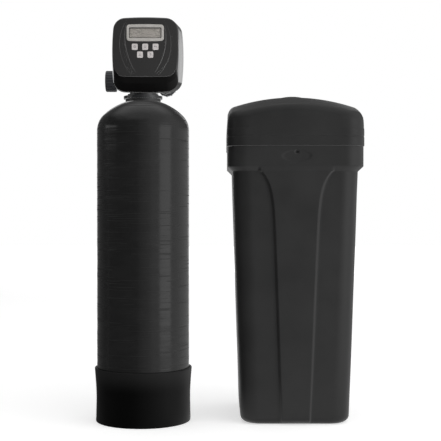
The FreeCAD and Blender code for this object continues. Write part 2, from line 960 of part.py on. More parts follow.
def flank_point(radius, teeth):
    """Half of a tooth's angle at a radius: the involute of the base circle, less its backlash."""
    pitch_radius = s.tooth_module.value * teeth / 2
    pressure = math.radians(20)
    base = pitch_radius * math.cos(pressure)
    half = math.pi / (2 * teeth) - s.backlash.value / (2 * pitch_radius)
    lean = math.acos(min(base / radius, 1))
    return half + (math.tan(pressure) - pressure) - (math.tan(lean) - lean)


def toothed(teeth, thick, turn):
    """A spur gear from the plane up, with the middle of a tooth at an angle in radians."""
    module = s.tooth_module.value
    pitch_radius = module * teeth / 2
    tip = pitch_radius + s.tooth_tip.value * module
    foot = pitch_radius - s.tooth_root.value * module
    steps = 4
    low = max(foot, pitch_radius * math.cos(math.radians(20)))
    radii = [low + (tip - low) * step / steps for step in range(steps + 1)]
    flank = [(foot, flank_point(low, teeth))] + [(r, flank_point(r, teeth)) for r in radii]
    corners = []
    for tooth in range(teeth):
        middle = turn + 2 * math.pi * tooth / teeth
        corners += [(r, middle - half) for r, half in flank]
        corners += [(r, middle + half) for r, half in reversed(flank)]
    points = [FreeCAD.Vector(r * math.cos(a), r * math.sin(a), 0) for r, a in corners]
    face = Part.Face(Part.makePolygon(points + points[:1]))
    return face.extrude(FreeCAD.Vector(0, 0, thick))


def turned_to(distance, turn):
    """X and Z steps of a distance along an angle of the sheet, in degrees."""
    angle = math.radians(turn.value)
    across = Size(math.cos(angle), f"cos({turn.formula})")
    up = Size(math.sin(angle), f"sin({turn.formula})")
    return distance * across, distance * up


def meshed(angle, phase, teeth, next_teeth):
    """The next gear's tooth angle that meshes with a gear of this tooth angle."""
    return angle + math.pi + math.pi / next_teeth + (angle - phase) * teeth / next_teeth


pinion_teeth = round(s.pinion_teeth.value)
wheel_teeth = round(s.wheel_teeth.value)
drive_teeth = round(s.drive_teeth.value)
wheel_reach = s.tooth_module * (s.pinion_teeth + s.wheel_teeth) / 2
drive_reach = s.tooth_module * (s.pinion_teeth + s.drive_teeth) / 2
wheel_tip = s.tooth_module * (s.wheel_teeth / 2 + s.tooth_tip)
pinion_tip = s.tooth_module * (s.pinion_teeth / 2 + s.tooth_tip)
third_step = turned_to(drive_reach, s.third_gear_turn)
second_step = turned_to(wheel_reach, s.second_gear_turn)
first_step = turned_to(wheel_reach, s.first_gear_turn)
motor_step = turned_to(wheel_reach, s.motor_turn)
third_place = (s.valve_across + third_step[0], barrel_height + third_step[1])
second_place = (third_place[0] + second_step[0], third_place[1] + second_step[1])
first_place = (second_place[0] + first_step[0], second_place[1] + first_step[1])
motor_place = (first_place[0] + motor_step[0], first_place[1] + motor_step[1])
second_plane_back = s.first_plane_back - s.plane_pitch
third_plane_back = second_plane_back - s.plane_pitch


def gear_node(name, solid, where, back):
    """Sets a gear that is worked out tooth by tooth, with its bore along the Y axis."""
    gear = doc.addObject("Part::Feature", "Gear")
    gear.Shape = solid
    node(name, place(gear, where[0], -back, where[1], "-y"))


def make_gears():
    """The drive gear on the cap, and the three reduction gears between it and the motor."""
    turns = [math.radians(turn.value) for turn in
             (s.third_gear_turn, s.second_gear_turn, s.first_gear_turn, s.motor_turn)]
    drive_phase = turns[0]
    third_pinion = meshed(turns[0], drive_phase, drive_teeth, pinion_teeth)
    second_pinion = meshed(turns[1], third_pinion, wheel_teeth, pinion_teeth)
    first_pinion = meshed(turns[2], second_pinion, wheel_teeth, pinion_teeth)
    motor_phase = meshed(turns[3], first_pinion, wheel_teeth, pinion_teeth)

    thick = s.drive_gear_front.value - s.drive_gear_back.value
    sleeve = s.drive_gear_back.value - s.sleeve_back.value
    bore = s.rod_radius.value + s.close_fit.value
    down = FreeCAD.Vector(0, 0, -1)
    body = toothed(drive_teeth, thick, drive_phase)
    body = body.fuse(Part.makeCylinder(s.sleeve_radius.value, sleeve, FreeCAD.Vector(), down))
    hole = Part.makeCylinder(bore, thick + sleeve, FreeCAD.Vector(0, 0, -sleeve))
    gear_node("drive_gear", body.cut(hole), (s.valve_across, barrel_height), s.drive_gear_back)

    third_long = third_plane_back - s.drive_gear_back + s.tooth_module
    stages = (
        ("first_gear", first_place, second_plane_back, s.plane_pitch, first_pinion),
        ("second_gear", second_place, third_plane_back, s.plane_pitch, second_pinion),
        ("third_gear", third_place, third_plane_back - third_long, third_long, third_pinion),
    )
    for name, where, back, pinion_long, phase in stages:
        wheel = toothed(wheel_teeth, s.gear_thick.value, phase)
        wheel.translate(FreeCAD.Vector(0, 0, pinion_long.value))
        body = wheel.fuse(toothed(pinion_teeth, pinion_long.value, phase))
        bore = s.pin_radius.value + s.running_fit.value
        hole = Part.makeCylinder(bore, pinion_long.value + s.gear_thick.value)
        gear_node(name, body.cut(hole), where, back)

    shaft = s.first_plane_back - s.bracket_front + s.bracket_thick + s.shaft_length
    pinion = toothed(pinion_teeth, s.gear_thick.value, motor_phase)
    axle = Part.makeCylinder(s.shaft_radius.value, shaft.value, FreeCAD.Vector(), down)
    gear_node("motor_pinion", pinion.fuse(axle), motor_place, s.first_plane_back)


plate_centre = (s.back_plate_top + s.back_plate_bottom) / 2
post_places = [
    (s.valve_across + side * s.post_spread / 2, height)
    for side in (-1, 1) for height in (s.low_post_height, s.high_post_height)
]
bracket_back = s.bracket_front - s.bracket_thick


def make_plates():
    """The back plate on the barrel, the bracket on its posts, the screws and the gear pins."""
    half_height = (s.back_plate_top - s.back_plate_bottom) / 2
    back = s.back_plate_front - s.back_plate_thick
    screw_hole = s.screw_radius + s.running_fit
    holes = [(s.valve_across, barrel_height, s.cap_flange_radius + s.slack)]
    holes += [(*motor_place, s.motor_radius + s.slack * 2)]
    holes += [(*spot, screw_hole) for spot in post_places]
    shape = rounded(s.back_plate_width / 2, half_height, s.back_plate_corner, s.valve_across,
                    plate_centre)
    flat = plate([shape], s.back_plate_thick, y=-back, along="-y", holes=holes)
    share = (s.back_plate_front - s.cover_rear) / (s.cover_middle - s.cover_rear)
    width = s.cover_rear_width - (s.cover_rear_width - s.cover_middle_width) * share
    reach = width / 2 - s.cover_wall - s.slack * 2
    lug_length = reach - s.back_plate_width / 2 + s.back_plate_corner
    lugs = []
    for side in (-1, 1):
        middle = s.valve_across + side * (reach - lug_length / 2)
        lugs.append(block(lug_length, s.back_plate_thick, s.lug_height, middle,
                          -back - s.back_plate_thick / 2, s.cover_rear_centre - s.lug_height / 2))
    pin_seat = s.pin_radius + s.running_fit
    third_boss = rod(s.boss_radius, third_boss_length(), third_place[0], -s.back_plate_front,
                     third_place[1], "-y")
    pin_hole = rod(pin_seat, s.boss_radius * 4, third_place[0], -back, third_place[1], "-y")
    node("back_plate", cut(fuse(flat, *lugs, third_boss), pin_hole))

    half_height = (s.bracket_top - s.bracket_bottom) / 2
    middle = (s.bracket_top + s.bracket_bottom) / 2
    holes = [(*third_place, pinion_tip + s.slack * 4), (*motor_place, s.shaft_radius + s.slack)]
    shape = rounded(s.bracket_width / 2, half_height, s.plate_corner, s.valve_across, middle)
    flat = plate([shape], s.bracket_thick, y=-bracket_back, along="-y", holes=holes)
    board_back = s.board_front - s.board_thick
    solids, screw_holes, screws = [flat], [], []
    for x, z in post_places:
        solids.append(rod(s.post_radius, bracket_back - s.back_plate_front, x,
                          -s.back_plate_front, z, "-y"))
        solids.append(rod(s.board_post_radius, board_back - s.bracket_front, x,
                          -s.bracket_front, z, "-y"))
        screw_holes.append(rod(screw_hole, s.screw_length + s.slack, x, -back, z, "-y"))
        shank = rod(s.screw_radius, s.screw_length, x, -back, z, "-y")
        head = rod(s.screw_head_radius, s.screw_head_thick, x, -back, z, "y")
        screws.append(fuse(shank, head))
    for where, plane_back in ((first_place, second_plane_back), (second_place, third_plane_back)):
        solids.append(rod(s.boss_radius, plane_back - s.bracket_front - s.slack, where[0],
                          -s.bracket_front, where[1], "-y"))
        screw_holes.append(rod(pin_seat, plane_back - bracket_back, where[0], -bracket_back,
                               where[1], "-y"))
    node("drive_bracket", cut(fuse(*solids), *screw_holes))
    node("plate_screws", group(*screws))

    pin_front = s.gear_cover_front - s.gear_cover_wall
    pins = []
    for where, pin_back in ((first_place, bracket_back), (second_place, bracket_back),
                            (third_place, back)):
        pins.append(rod(s.pin_radius, pin_front - pin_back, where[0], -pin_back, where[1], "-y"))
    node("gear_pins", group(*pins))


def third_boss_length():
    """The back plate's boss ends a slack short of the third gear's pinion."""
    return s.drive_gear_back - s.tooth_module - s.back_plate_front - s.slack


def make_motor():
    """The geared motor's can, screwed to the back of the bracket, with a bore for its shaft."""
    can = rod(s.motor_radius, s.motor_length, motor_place[0], -bracket_back, motor_place[1], "y")
    bore = rod(s.shaft_radius + s.running_fit, s.shaft_length + s.slack, motor_place[0],
               -bracket_back, motor_place[1], "y")
    node("drive_motor", cut(can, bore))


def make_gear_cover():
    """A tray over the gears, with a boss that reaches to the front of each one."""
    margin = wheel_tip + s.gear_cover_margin
    left, right = second_place[0] - margin, third_place[0] + margin
    low, high = third_place[1] - margin, first_place[1] + margin
    x, z = (left + right) / 2, (low + high) / 2
    half_width, half_height = (right - left) / 2, (high - low) / 2
    inside = s.gear_cover_corner - s.gear_cover_wall
    depth = s.gear_cover_front - s.bracket_front
    outer = plate([rounded(half_width, half_height, s.gear_cover_corner, x, z)], depth,
                  y=-s.bracket_front, along="-y")
    wall = s.gear_cover_wall
    inner = plate([rounded(half_width - wall, half_height - wall, inside, x, z)], depth - wall,
                  y=-s.bracket_front, along="-y")
    pin_front = s.gear_cover_front - wall
    bosses, holes = [], []
    for where, gear_front in (
        (first_place, s.first_plane_back + s.gear_thick),
        (second_place, second_plane_back + s.gear_thick),
        (third_place, third_plane_back + s.gear_thick),
    ):
        boss_back = gear_front + s.slack
        bosses.append(rod(s.boss_radius, pin_front - boss_back, where[0], -boss_back,
                          where[1], "-y"))
        holes.append(rod(s.pin_radius + s.running_fit, pin_front - boss_back, where[0],
                         -boss_back, where[1], "-y"))
    node("gear_cover", cut(fuse(cut(outer, inner), *bosses), *holes))


# Front face: where the display and the buttons are, and how far forward each layer lies
face_front = s.cover_front + s.face_thick
window_front = face_front + s.frame_thick - s.window_sink
window_back = window_front - s.window_thick
button_places = {
    "upper_left_button": (s.valve_across - s.button_pitch, s.upper_button_row),
    "upper_middle_button": (s.valve_across + 0, s.upper_button_row),
    "upper_right_button": (s.valve_across + s.button_pitch, s.upper_button_row),
    "lower_left_button": (s.valve_across - s.button_pitch / 2, s.lower_button_row),
    "lower_right_button": (s.valve_across + s.button_pitch / 2, s.lower_button_row),
}
switch_front = s.board_front + s.switch_height


def window_outline(slack):
    """The window's outline, grown by a slack where it's a hole."""
    return rounded(s.window_width / 2 + slack, s.window_height / 2 + slack,
                   s.window_corner + slack, s.valve_across, s.frame_centre)


def button_outline(place_of, grown):
    return rounded(s.button_width / 2 + grown, s.button_height / 2 + grown,
                   s.button_corner + grown, *place_of)


def make_board():
    """The circuit board with its five key switches and the display module."""
    middle = (s.board_top + s.board_bottom) / 2
    shape = rounded(s.board_width / 2, (s.board_top - s.board_bottom) / 2, s.button_corner,
                    s.valve_across, middle)
    board_back = s.board_front - s.board_thick
    node("circuit_board", plate([shape], s.board_thick, y=-board_back, along="-y"))
    switches = []
    for x, z in button_places.values():
        base = block(s.switch_size, s.switch_height / 2, s.switch_size, x,
                     -s.board_front - s.switch_height / 4, z - s.switch_size / 2)
        plunger = rod(s.switch_size / 3, s.switch_height, x, -s.board_front, z, "-y")
        switches.append(fuse(base, plunger))
    node("key_switches", group(*switches))
    depth = window_back - s.slack - s.board_front
    node("display_module", plate([window_outline(0)], depth, y=-s.board_front, along="-y"))


def cover_section(body, forward, width, height, centre, wall):
    """One bulged, round-cornered section of the cover, set in by a wall."""
    sketch = sketch_on(body, "XZ_Plane", forward)
    half_width, half_height = width / 2 - wall, height / 2 - wall
    corner = s.cover_corner - wall
    side, top = s.side_bulge, s.top_bulge
    x, z = s.valve_across, centre
    middles = (
        (x + half_width - side, z, side),
        (x, z + half_height - top, top),
        (x - half_width + side, z, side),
        (x, z - half_height + top, top),
    )
    sides = [(middle[0].value, middle[1].value, middle[2].value) for middle in middles]
    corner_spots = []
    for index in range(4):
        corner_spots.append(inner_touch(sides[index], sides[(index + 1) % 4], corner.value,
                                        (x.value, z.value), index))
    arcs = []
    for index, (cx, cz, radius) in enumerate(sides):
        touches = []
        for spot in (corner_spots[index - 1], corner_spots[index]):
            touches.append(math.atan2(spot[1] - cz, spot[0] - cx))
        arcs.append(add_arc(sketch, cx, cz, radius, *touches))
        spot = corner_spots[index]
        following = sides[(index + 1) % 4]
        turns = [math.atan2(spot[1] - rim[1], spot[0] - rim[0]) for rim in (sides[index], following)]
        arcs.append(add_arc(sketch, spot[0], spot[1], corner.value, *turns))
    for index, arc in enumerate(arcs):
        following = arcs[(index + 1) % 8]
        sketch.addConstraint(Sketcher.Constraint("Tangent", arc, 2, following, 1))
    for index in range(4):
        cx, cz, radius = middles[index]
        for kind, size in (("DistanceX", cx), ("DistanceY", cz)):
            rule = Sketcher.Constraint(kind, -1, 1, arcs[index * 2], 3, size.value)
            sketch.setExpression(f"Constraints[{sketch.addConstraint(rule)}]", size.formula)
        for arc, size in ((arcs[index * 2], radius), (arcs[index * 2 + 1], corner)):
            rule = Sketcher.Constraint("Radius", arc, size.value)
            sketch.setExpression(f"Constraints[{sketch.addConstraint(rule)}]", size.formula)
    return sketch


def inner_touch(first, second, corner, middle, index):
    """The middle of the corner arc that touches two side arcs from inside: where circles about
    the sides' middles, smaller by the corner's radius, cross on the corner's side."""
    reach_first, reach_second = first[2] - corner, second[2] - corner
    gap_x, gap_z = second[0] - first[0], second[1] - first[1]
    gap = math.hypot(gap_x, gap_z)
    along = (gap ** 2 + reach_first ** 2 - reach_second ** 2) / (2 * gap)
    across = math.sqrt(reach_first ** 2 - along ** 2)
    best = None
    want = ((1, 1), (-1, 1), (-1, -1), (1, -1))[index]
    for sign in (-1, 1):
        spot_x = first[0] + (along * gap_x - sign * across * gap_z) / gap
        spot_z = first[1] + (along * gap_z + sign * across * gap_x) / gap
        if (spot_x - middle[0]) * want[0] > 0 and (spot_z - middle[1]) * want[1] > 0:
            best = (spot_x, spot_z)
    return best


def add_arc(sketch, x, z, radius, start, end):
    """Adds an arc that runs anticlockwise from one angle to another."""
    while end < start:
        end += 2 * math.pi
    around = Part.Circle(FreeCAD.Vector(x, z, 0), FreeCAD.Vector(0, 0, 1), radius)
    return sketch.addGeometry(Part.ArcOfCircle(around, start, end), False)


def cover_loft(wall):
    """The cover's outer form, or the hollow in it where a wall is given."""
    body = new_body("Cover")
    ends = (as_size(0) - wall, as_size(0) + wall) if wall else (as_size(0), as_size(0))
    sections = [
        cover_section(body, s.cover_rear + ends[0], s.cover_rear_width, s.cover_rear_height,
                      s.cover_rear_centre, wall),
        cover_section(body, s.cover_middle - ends[1] / 2, s.cover_middle_width,
                      s.cover_middle_height, s.cover_middle_centre, wall),
        cover_section(body, s.cover_shoulder - ends[1], s.cover_shoulder_width,
                      s.cover_shoulder_height, s.cover_shoulder_centre, wall),
        cover_section(body, s.cover_front - ends[1], s.cover_front_width, s.cover_front_height,
                      s.cover_front_centre, wall),
    ]
    loft = body.newObject("PartDesign::AdditiveLoft", "Loft")
    loft.Profile = sections[0]
    loft.Sections = sections[1:]
    loft.Ruled = True
    return body


def front_openings():
    """Tools that cut the holes for the window and the buttons in every layer of the face."""
    depth = s.cover_wall * 3
    outlines = [window_outline(s.slack)]
    outlines += [button_outline(spot, s.slack) for spot in button_places.values()]
    start = -s.cover_front + s.cover_wall * 2
    return [plate([points], depth, y=start, along="-y") for points in outlines]


def make_cover(openings):
    """The glossy cover: one moulding, open behind, with holes for the display and buttons."""
    notch_width = s.hub_radius * 2 + s.slack * 4
    notch_long = s.barrel_front - s.cover_rear + s.slack
    floor = s.cover_rear_centre - s.cover_rear_height / 2
    notch = block(notch_width, notch_long * 2, s.cover_wall * 3, 0,
                  -s.barrel_front - s.slack + notch_long, floor - s.cover_wall)
    node("head_cover", cut(cover_loft(0), cover_loft(s.cover_wall), notch, *openings))


def crescent(side):
    """One long leaf-shaped ridge of the face, on one side of its middle."""
    x = s.valve_across
    foot = (x + side * s.ridge_foot, s.ridge_foot_height)
    head = (x + side * s.ridge_head, s.ridge_head_height)
    lip = (x + side * s.ridge_lip, s.ridge_lip_height)
    return [foot, (*head, side * s.ridge_outer_curve), lip]


def make_face(openings):
    """The face plate with its two ridges, and the frame and window of the display."""
    shape = rounded(s.face_width / 2, s.face_height / 2, s.face_corner, s.valve_across,
                    s.cover_front_centre)
    flat = cut(plate([shape], s.face_thick, y=-s.cover_front, along="-y"), *openings)
    ridges = []
    for side in (-1, 1):
        points = crescent(side)
        points[0] = (*points[0], -side * s.ridge_inner_curve)
        ridges.append(plate([points], s.ridge_thick, y=-face_front, along="-y"))
    node("face_plate", fuse(flat, *ridges))
    shape = rounded(s.frame_width / 2, s.frame_height / 2, s.frame_corner, s.valve_across,
                    s.frame_centre)
    node("display_frame", plate([shape, window_outline(s.slack)], s.frame_thick, y=-face_front,
                                along="-y"))
    node("display_window", plate([window_outline(0)], s.window_thick, y=-window_back, along="-y"))


def make_buttons():
    """Five push buttons: a cap in the face, a flange behind the wall, a stem to the switch."""
    wall_back = s.cover_front - s.cover_wall
    flange_front = wall_back - s.slack
    flange_back = flange_front - s.button_flange
    button_front = face_front + s.button_proud
    stem_back = switch_front + s.button_travel + s.slack
    for name, spot in button_places.items():
        cap = plate([button_outline(spot, 0)], button_front - flange_back, y=-flange_back,
                    along="-y")
        flange = plate([button_outline(spot, s.button_flange)], s.button_flange, y=-flange_back,
                       along="-y")
        stem = rod(s.button_stem_radius, flange_back - stem_back, spot[0], -stem_back, spot[1],
                   "-y")
        node(name, fuse(cap, flange, stem))


make_drive_cap(make_stack())
make_piston()
make_gears()
make_plates()
make_motor()
make_gear_cover()
make_board()
front_holes = front_openings()
make_cover(front_holes)
make_face(front_holes)
make_buttons()
doc.recompute()


def ribbed(body, ribs, rib, length, ring_radius, low=0):
    """Grows ribs round a turned body: one round rib is repeated about the body's axis."""
    sketch = sketch_on(body, "XY_Plane", low)
    circle(sketch, ring_radius, 0, rib)
    pad = body.newObject("PartDesign::Pad", "Rib")
    pad.Profile = sketch
    bind(pad, Length=length)
    pattern = body.newObject("PartDesign::PolarPattern", "Ribs")
    pattern.Originals = [pad]
    pattern.Axis = (sketch, ["N_Axis"])
    pattern.Angle = 360
    bind(pattern, Occurrences=ribs)
    body.Tip = pattern
    return body


def make_injector():
    """The injector's nozzle in its boss on the barrel, and the finned cap that holds it."""
    nozzle_radius = s.injector_bore_radius - s.close_fit
    nozzle_low = injector_seat - s.nozzle_height
    nozzle = rod(nozzle_radius, s.nozzle_height, s.valve_across, s.injector_back, nozzle_low)
    throat = cone(s.nozzle_hole_radius, s.nozzle_hole_radius * 3, s.nozzle_height, s.valve_across,
                  s.injector_back, nozzle_low)
    node("injector_nozzle", cut(nozzle, throat))
    edge = s.fin_radius
    cap = turned([
        (0, 0), (s.injector_cap_radius, 0), (s.injector_cap_radius, s.injector_cap_height - edge),
        (s.injector_cap_radius - edge, s.injector_cap_height, edge), (0, s.injector_cap_height),
    ], s.valve_across, s.injector_back, injector_seat)
    tall = s.injector_cap_height - edge * 2
    node("injector_cap", ribbed(cap, s.injector_cap_fins, s.fin_radius, tall,
                                s.injector_cap_radius))


def level_rod(radius, length, across, start, height, along):
    """A rod at an elbow's height, starting some way past its stem's middle."""
    if along == "y":
        return rod(radius, length, across, s.elbow_back + start, height, "y")
    return rod(radius, length, across + start, s.elbow_back, height, "x")


def elbow(across, spigot, stem, arm, arm_length, arm_rise, bore, bore_deep, along, root_step=0):
    """An elbow that plugs into its boss from above and points to the back or to the right."""
    height = elbow_seat + arm_rise
    low = elbow_seat - s.elbow_spigot_length
    outside = [
        rod(spigot, s.elbow_spigot_length, across, s.elbow_back, low),
        rod(stem, arm_rise, across, s.elbow_back, elbow_seat),
        level_rod(arm, arm_length + stem, across, -stem, height, along),
    ]
    if root_step:
        outside.append(level_rod(arm + root_step, s.drain_root_length + stem, across, -stem,
                                 height, along))
    passage = s.elbow_hole_radius
    hollows = [
        rod(passage, s.elbow_spigot_length + arm_rise, across, s.elbow_back, low),
        level_rod(passage, arm_length, across, as_size(0), height, along),
        level_rod(bore, bore_deep, across, arm_length - bore_deep, height, along),
    ]
    return cut(fuse(*outside), *hollows)


def clip(across, stem):
    """A sprung ring, open at its front, that holds an elbow's stem."""
    hoop = tube(stem + s.slack + s.clip_width, stem + s.slack, s.clip_thick, across,
                s.elbow_back, elbow_seat)
    gap = stem + s.slack + s.clip_width
    mouth = block(s.clip_mouth, gap, s.clip_thick, across, s.elbow_back - gap / 2, elbow_seat)
    return cut(hoop, mouth)


def make_elbows():
    """The refill elbow, the drain elbow and their clips."""
    node("refill_elbow", elbow(refill_across, s.refill_spigot_radius, s.refill_stem_radius,
                               s.refill_arm_radius, s.refill_arm_length, s.refill_arm_rise,
                               s.tube_socket_radius, s.tube_socket_depth, "y"))
    node("drain_elbow", elbow(drain_across, s.drain_spigot_radius, s.drain_stem_radius,
                              s.drain_arm_radius, s.drain_arm_length, s.drain_arm_rise,
                              s.drain_bore_radius, s.drain_arm_length - s.drain_bore_radius,
                              "x", s.drain_root_step))
    node("elbow_clips", group(clip(refill_across, s.refill_stem_radius),
                              clip(drain_across, s.drain_stem_radius)))




def make_meter():
    """The water meter on the cross tube's left end: body, turbine on its axle, and union nut."""
    where = (cross_left_end, s.cross_back, barrel_height, "-x")
    inner_long = s.meter_length - s.meter_web - s.meter_end_wall
    axle_fit = s.axle_radius + s.running_fit
    hollows = [rod(s.meter_bore_radius, inner_long, cross_left_end - s.meter_web, *where[1:])]
    axle_long = s.meter_length - s.meter_end_wall / 2
    hollows.append(rod(axle_fit, axle_long, *where))
    window_circle = (s.water_bore_radius + s.axle_radius) / 2
    for index in range(4):
        across, up = polar(window_circle, 45 + 90 * index)
        hollows.append(rod(s.meter_window_radius, s.meter_web, cross_left_end,
                           s.cross_back + across, barrel_height + up, "-x"))
    node("meter_body", cut(rod(s.meter_radius, s.meter_length, *where), *hollows))

    axle_start = s.running_fit * 6
    axle = rod(s.axle_radius, axle_long - axle_start * 2, cross_left_end - axle_start, *where[1:])
    middle = cross_left_end - s.meter_length / 2
    start = middle + s.turbine_length / 2
    hub = rod(s.turbine_hub_radius, s.turbine_length, start, *where[1:])
    vanes = []
    for index in range(round(s.turbine_vanes.value)):
        vane = bind(doc.addObject("Part::Box", "Vane"), Length=s.turbine_radius,
                    Width=s.vane_thick, Height=s.turbine_length)
        turn = FreeCAD.Rotation(FreeCAD.Vector(0, 0, 1), 360 * index / s.turbine_vanes.value)
        spot = (start, s.cross_back, barrel_height)
        place(vane, *spot)
        vane.Placement = FreeCAD.Placement(vane.Placement.Base, TURNS["-x"].multiply(turn))
        vanes.append(vane)
    node("meter_turbine", fuse(axle, hub, *vanes))

    end = s.meter_length + s.meter_nut_end_wall
    start = end - s.meter_nut_length
    edge = s.fin_radius
    nut = turned([
        (0, s.meter_length),
        (s.meter_radius + s.slack, s.meter_length),
        (s.meter_radius + s.slack, start),
        (s.meter_nut_radius, start),
        (s.meter_nut_radius, end - edge),
        (s.meter_nut_radius - edge, end, edge),
        (0, end),
    ], *where)
    tall = s.meter_nut_length - edge * 2
    node("meter_nut", ribbed(nut, s.nut_ribs, s.rib_radius, tall, s.meter_nut_radius - edge / 2,
                             start + edge / 2))


bypass_front = s.port_back + s.seal_washer_thick
bypass_back = bypass_front + s.bypass_length
bypass_middle = (bypass_front + bypass_back) / 2
rotor_seat = barrel_height + s.rotor_seat_rise


def make_bypass():
    """The bypass valve behind the ports: two barrels joined by a cross tube, and two rotors."""
    outside, hollows = [], []
    rotor_hole = s.rotor_radius + s.close_fit
    rotor_low = barrel_height - s.rotor_drop
    seat_low = rotor_low - s.basket_wall
    for across in port_places:
        outside.append(rod(s.cross_radius, s.bypass_length, across, bypass_front, barrel_height,
                           "y"))
        outside.append(rod(s.rotor_seat_radius, rotor_seat - seat_low, across, bypass_middle,
                           seat_low))
        hollows.append(rod(s.water_bore_radius, s.bypass_length, across, bypass_front,
                           barrel_height, "y"))
        hollows.append(rod(rotor_hole, rotor_seat - rotor_low, across, bypass_middle, rotor_low))
    outside.append(rod(s.bypass_cross_radius, s.port_spread * 2, port_places[0], bypass_middle,
                       barrel_height, "x"))
    hollows.append(rod(s.rotor_hole_radius, s.port_spread * 2, port_places[0], bypass_middle,
                       barrel_height, "x"))
    node("bypass_body", cut(fuse(*outside), *hollows))

    for name, across in zip(("inlet_handle", "outlet_handle"), port_places):
        low = rotor_low + s.running_fit
        handle_low = rotor_seat + s.handle_lift
        rotor = rod(s.rotor_radius, handle_low - low, across, bypass_middle, low)
        radius = s.handle_width / 2
        half = s.handle_length / 2
        x, y = across, bypass_middle
        grip = plate([[
            (x - radius, y - half + radius),
            (x, y - half),
            (x + radius, y - half + radius),
            (x + radius, y + half - radius),
            (x, y + half, radius),
            (x - radius, y + half - radius, radius),
        ]], s.handle_height, z=handle_low)
        hole = rod(s.rotor_hole_radius, s.cross_radius * 2, across, bypass_middle - s.cross_radius,
                   barrel_height, "y")
        node(name, fuse(cut(rotor, hole), grip))


def make_couplings():
    """Union nuts and washers before and behind the bypass, and the two pipe connectors."""
    nuts, washers, pipes = [], [], []
    hole = s.cross_radius + s.slack
    connector_front = bypass_back + s.seal_washer_thick
    for across in port_places:
        for joint in (s.port_back, bypass_back):
            start = joint + s.seal_washer_thick / 2 - s.nut_length / 2
            nut = tube(s.nut_radius, hole, s.nut_length, across, start, barrel_height, "y")
            nuts.append(ribbed(nut, s.coupling_ribs, s.rib_radius, s.nut_length, s.nut_radius))
            washers.append(tube(s.cross_radius, s.water_bore_radius, s.seal_washer_thick, across,
                                joint, barrel_height, "y"))
        flange = rod(s.cross_radius, s.connector_flange, across, connector_front, barrel_height,
                     "y")
        pipe = rod(s.connector_radius, s.connector_length, across, connector_front,
                   barrel_height, "y")
        bore = rod(s.water_bore_radius, s.connector_length, across, connector_front,
                   barrel_height, "y")
        pipes.append(cut(fuse(flange, pipe), bore))
    node("coupling_nuts", group(*nuts))
    node("port_seals", group(*washers))
    node("pipe_connectors", group(*pipes))


# The steps that round the tank's foot, in degrees
ROLL_TURNS = (0, 30, 60, 90)

# The brine tank's levels, and how wide and deep it is at a height
rim_low = s.tank_wall_height
rim_top = rim_low + s.rim_height
rim_front = s.tank_back - s.rim_depth / 2


def tank_half(axis, height):
    """Half of the tapered tank's outside width or depth at a height."""
    foot, top = ((s.tank_foot_width, s.tank_top_width) if axis == "width"
                 else (s.tank_foot_depth, s.tank_top_depth))
    return (foot + (top - foot) * height / s.tank_wall_height) / 2


def edges_at(shape, level):
    """Names of the edges that lie flat at a height."""
    return [f"Edge{index}" for index, edge in enumerate(shape.Edges, start=1)
            if abs(edge.BoundBox.ZMax - level) < 0.01 and edge.BoundBox.ZLength < 0.01]


def tapered(inset, low, proud=0):
    """The tank's tapered form with a rolled foot, set in by its wall, or out by a panel."""
    body = new_body("Tapered")
    roll = s.tank_foot_edge - inset
    levels = []
    for turn in ROLL_TURNS:
        angle = math.radians(turn)
        levels.append((low + roll * (1 - math.cos(angle)), inset + roll * (1 - math.sin(angle))))
    levels.append((rim_low, as_size(inset)))
    sections = []
    for height, drawn_in in levels:
        sketch = sketch_on(body, "XY_Plane", height)
        outline(sketch, rounded(tank_half("width", height) + proud - drawn_in,
                                tank_half("depth", height) + proud - drawn_in,
                                s.tank_corner - drawn_in, s.tank_across, s.tank_back))
        sections.append(sketch)
    loft = body.newObject("PartDesign::AdditiveLoft", "Walls")
    loft.Profile = sections[0]
    loft.Sections = sections[1:]
    loft.Ruled = True
    return body


def framed(width, depth, corner, height, z):
    """A straight round-cornered form about the tank's middle."""
    return plate([rounded(width / 2, depth / 2, corner, s.tank_across, s.tank_back)], height, z=z)


def panel_outline():
    """The raised panel's outline on the tank's front: a slim foot, a waist and a flared head."""
    x = s.tank_across
    right = [
        (x + s.panel_foot_width / 2, s.tank_foot_edge),
        (x + s.panel_waist_width / 2, s.panel_waist_height),
        (x + s.panel_neck_width / 2, s.panel_neck_height),
        (x + s.panel_head_width / 2, rim_low),
    ]
    left = [(x - (corner[0] - x), corner[1]) for corner in reversed(right)]
    return right + left


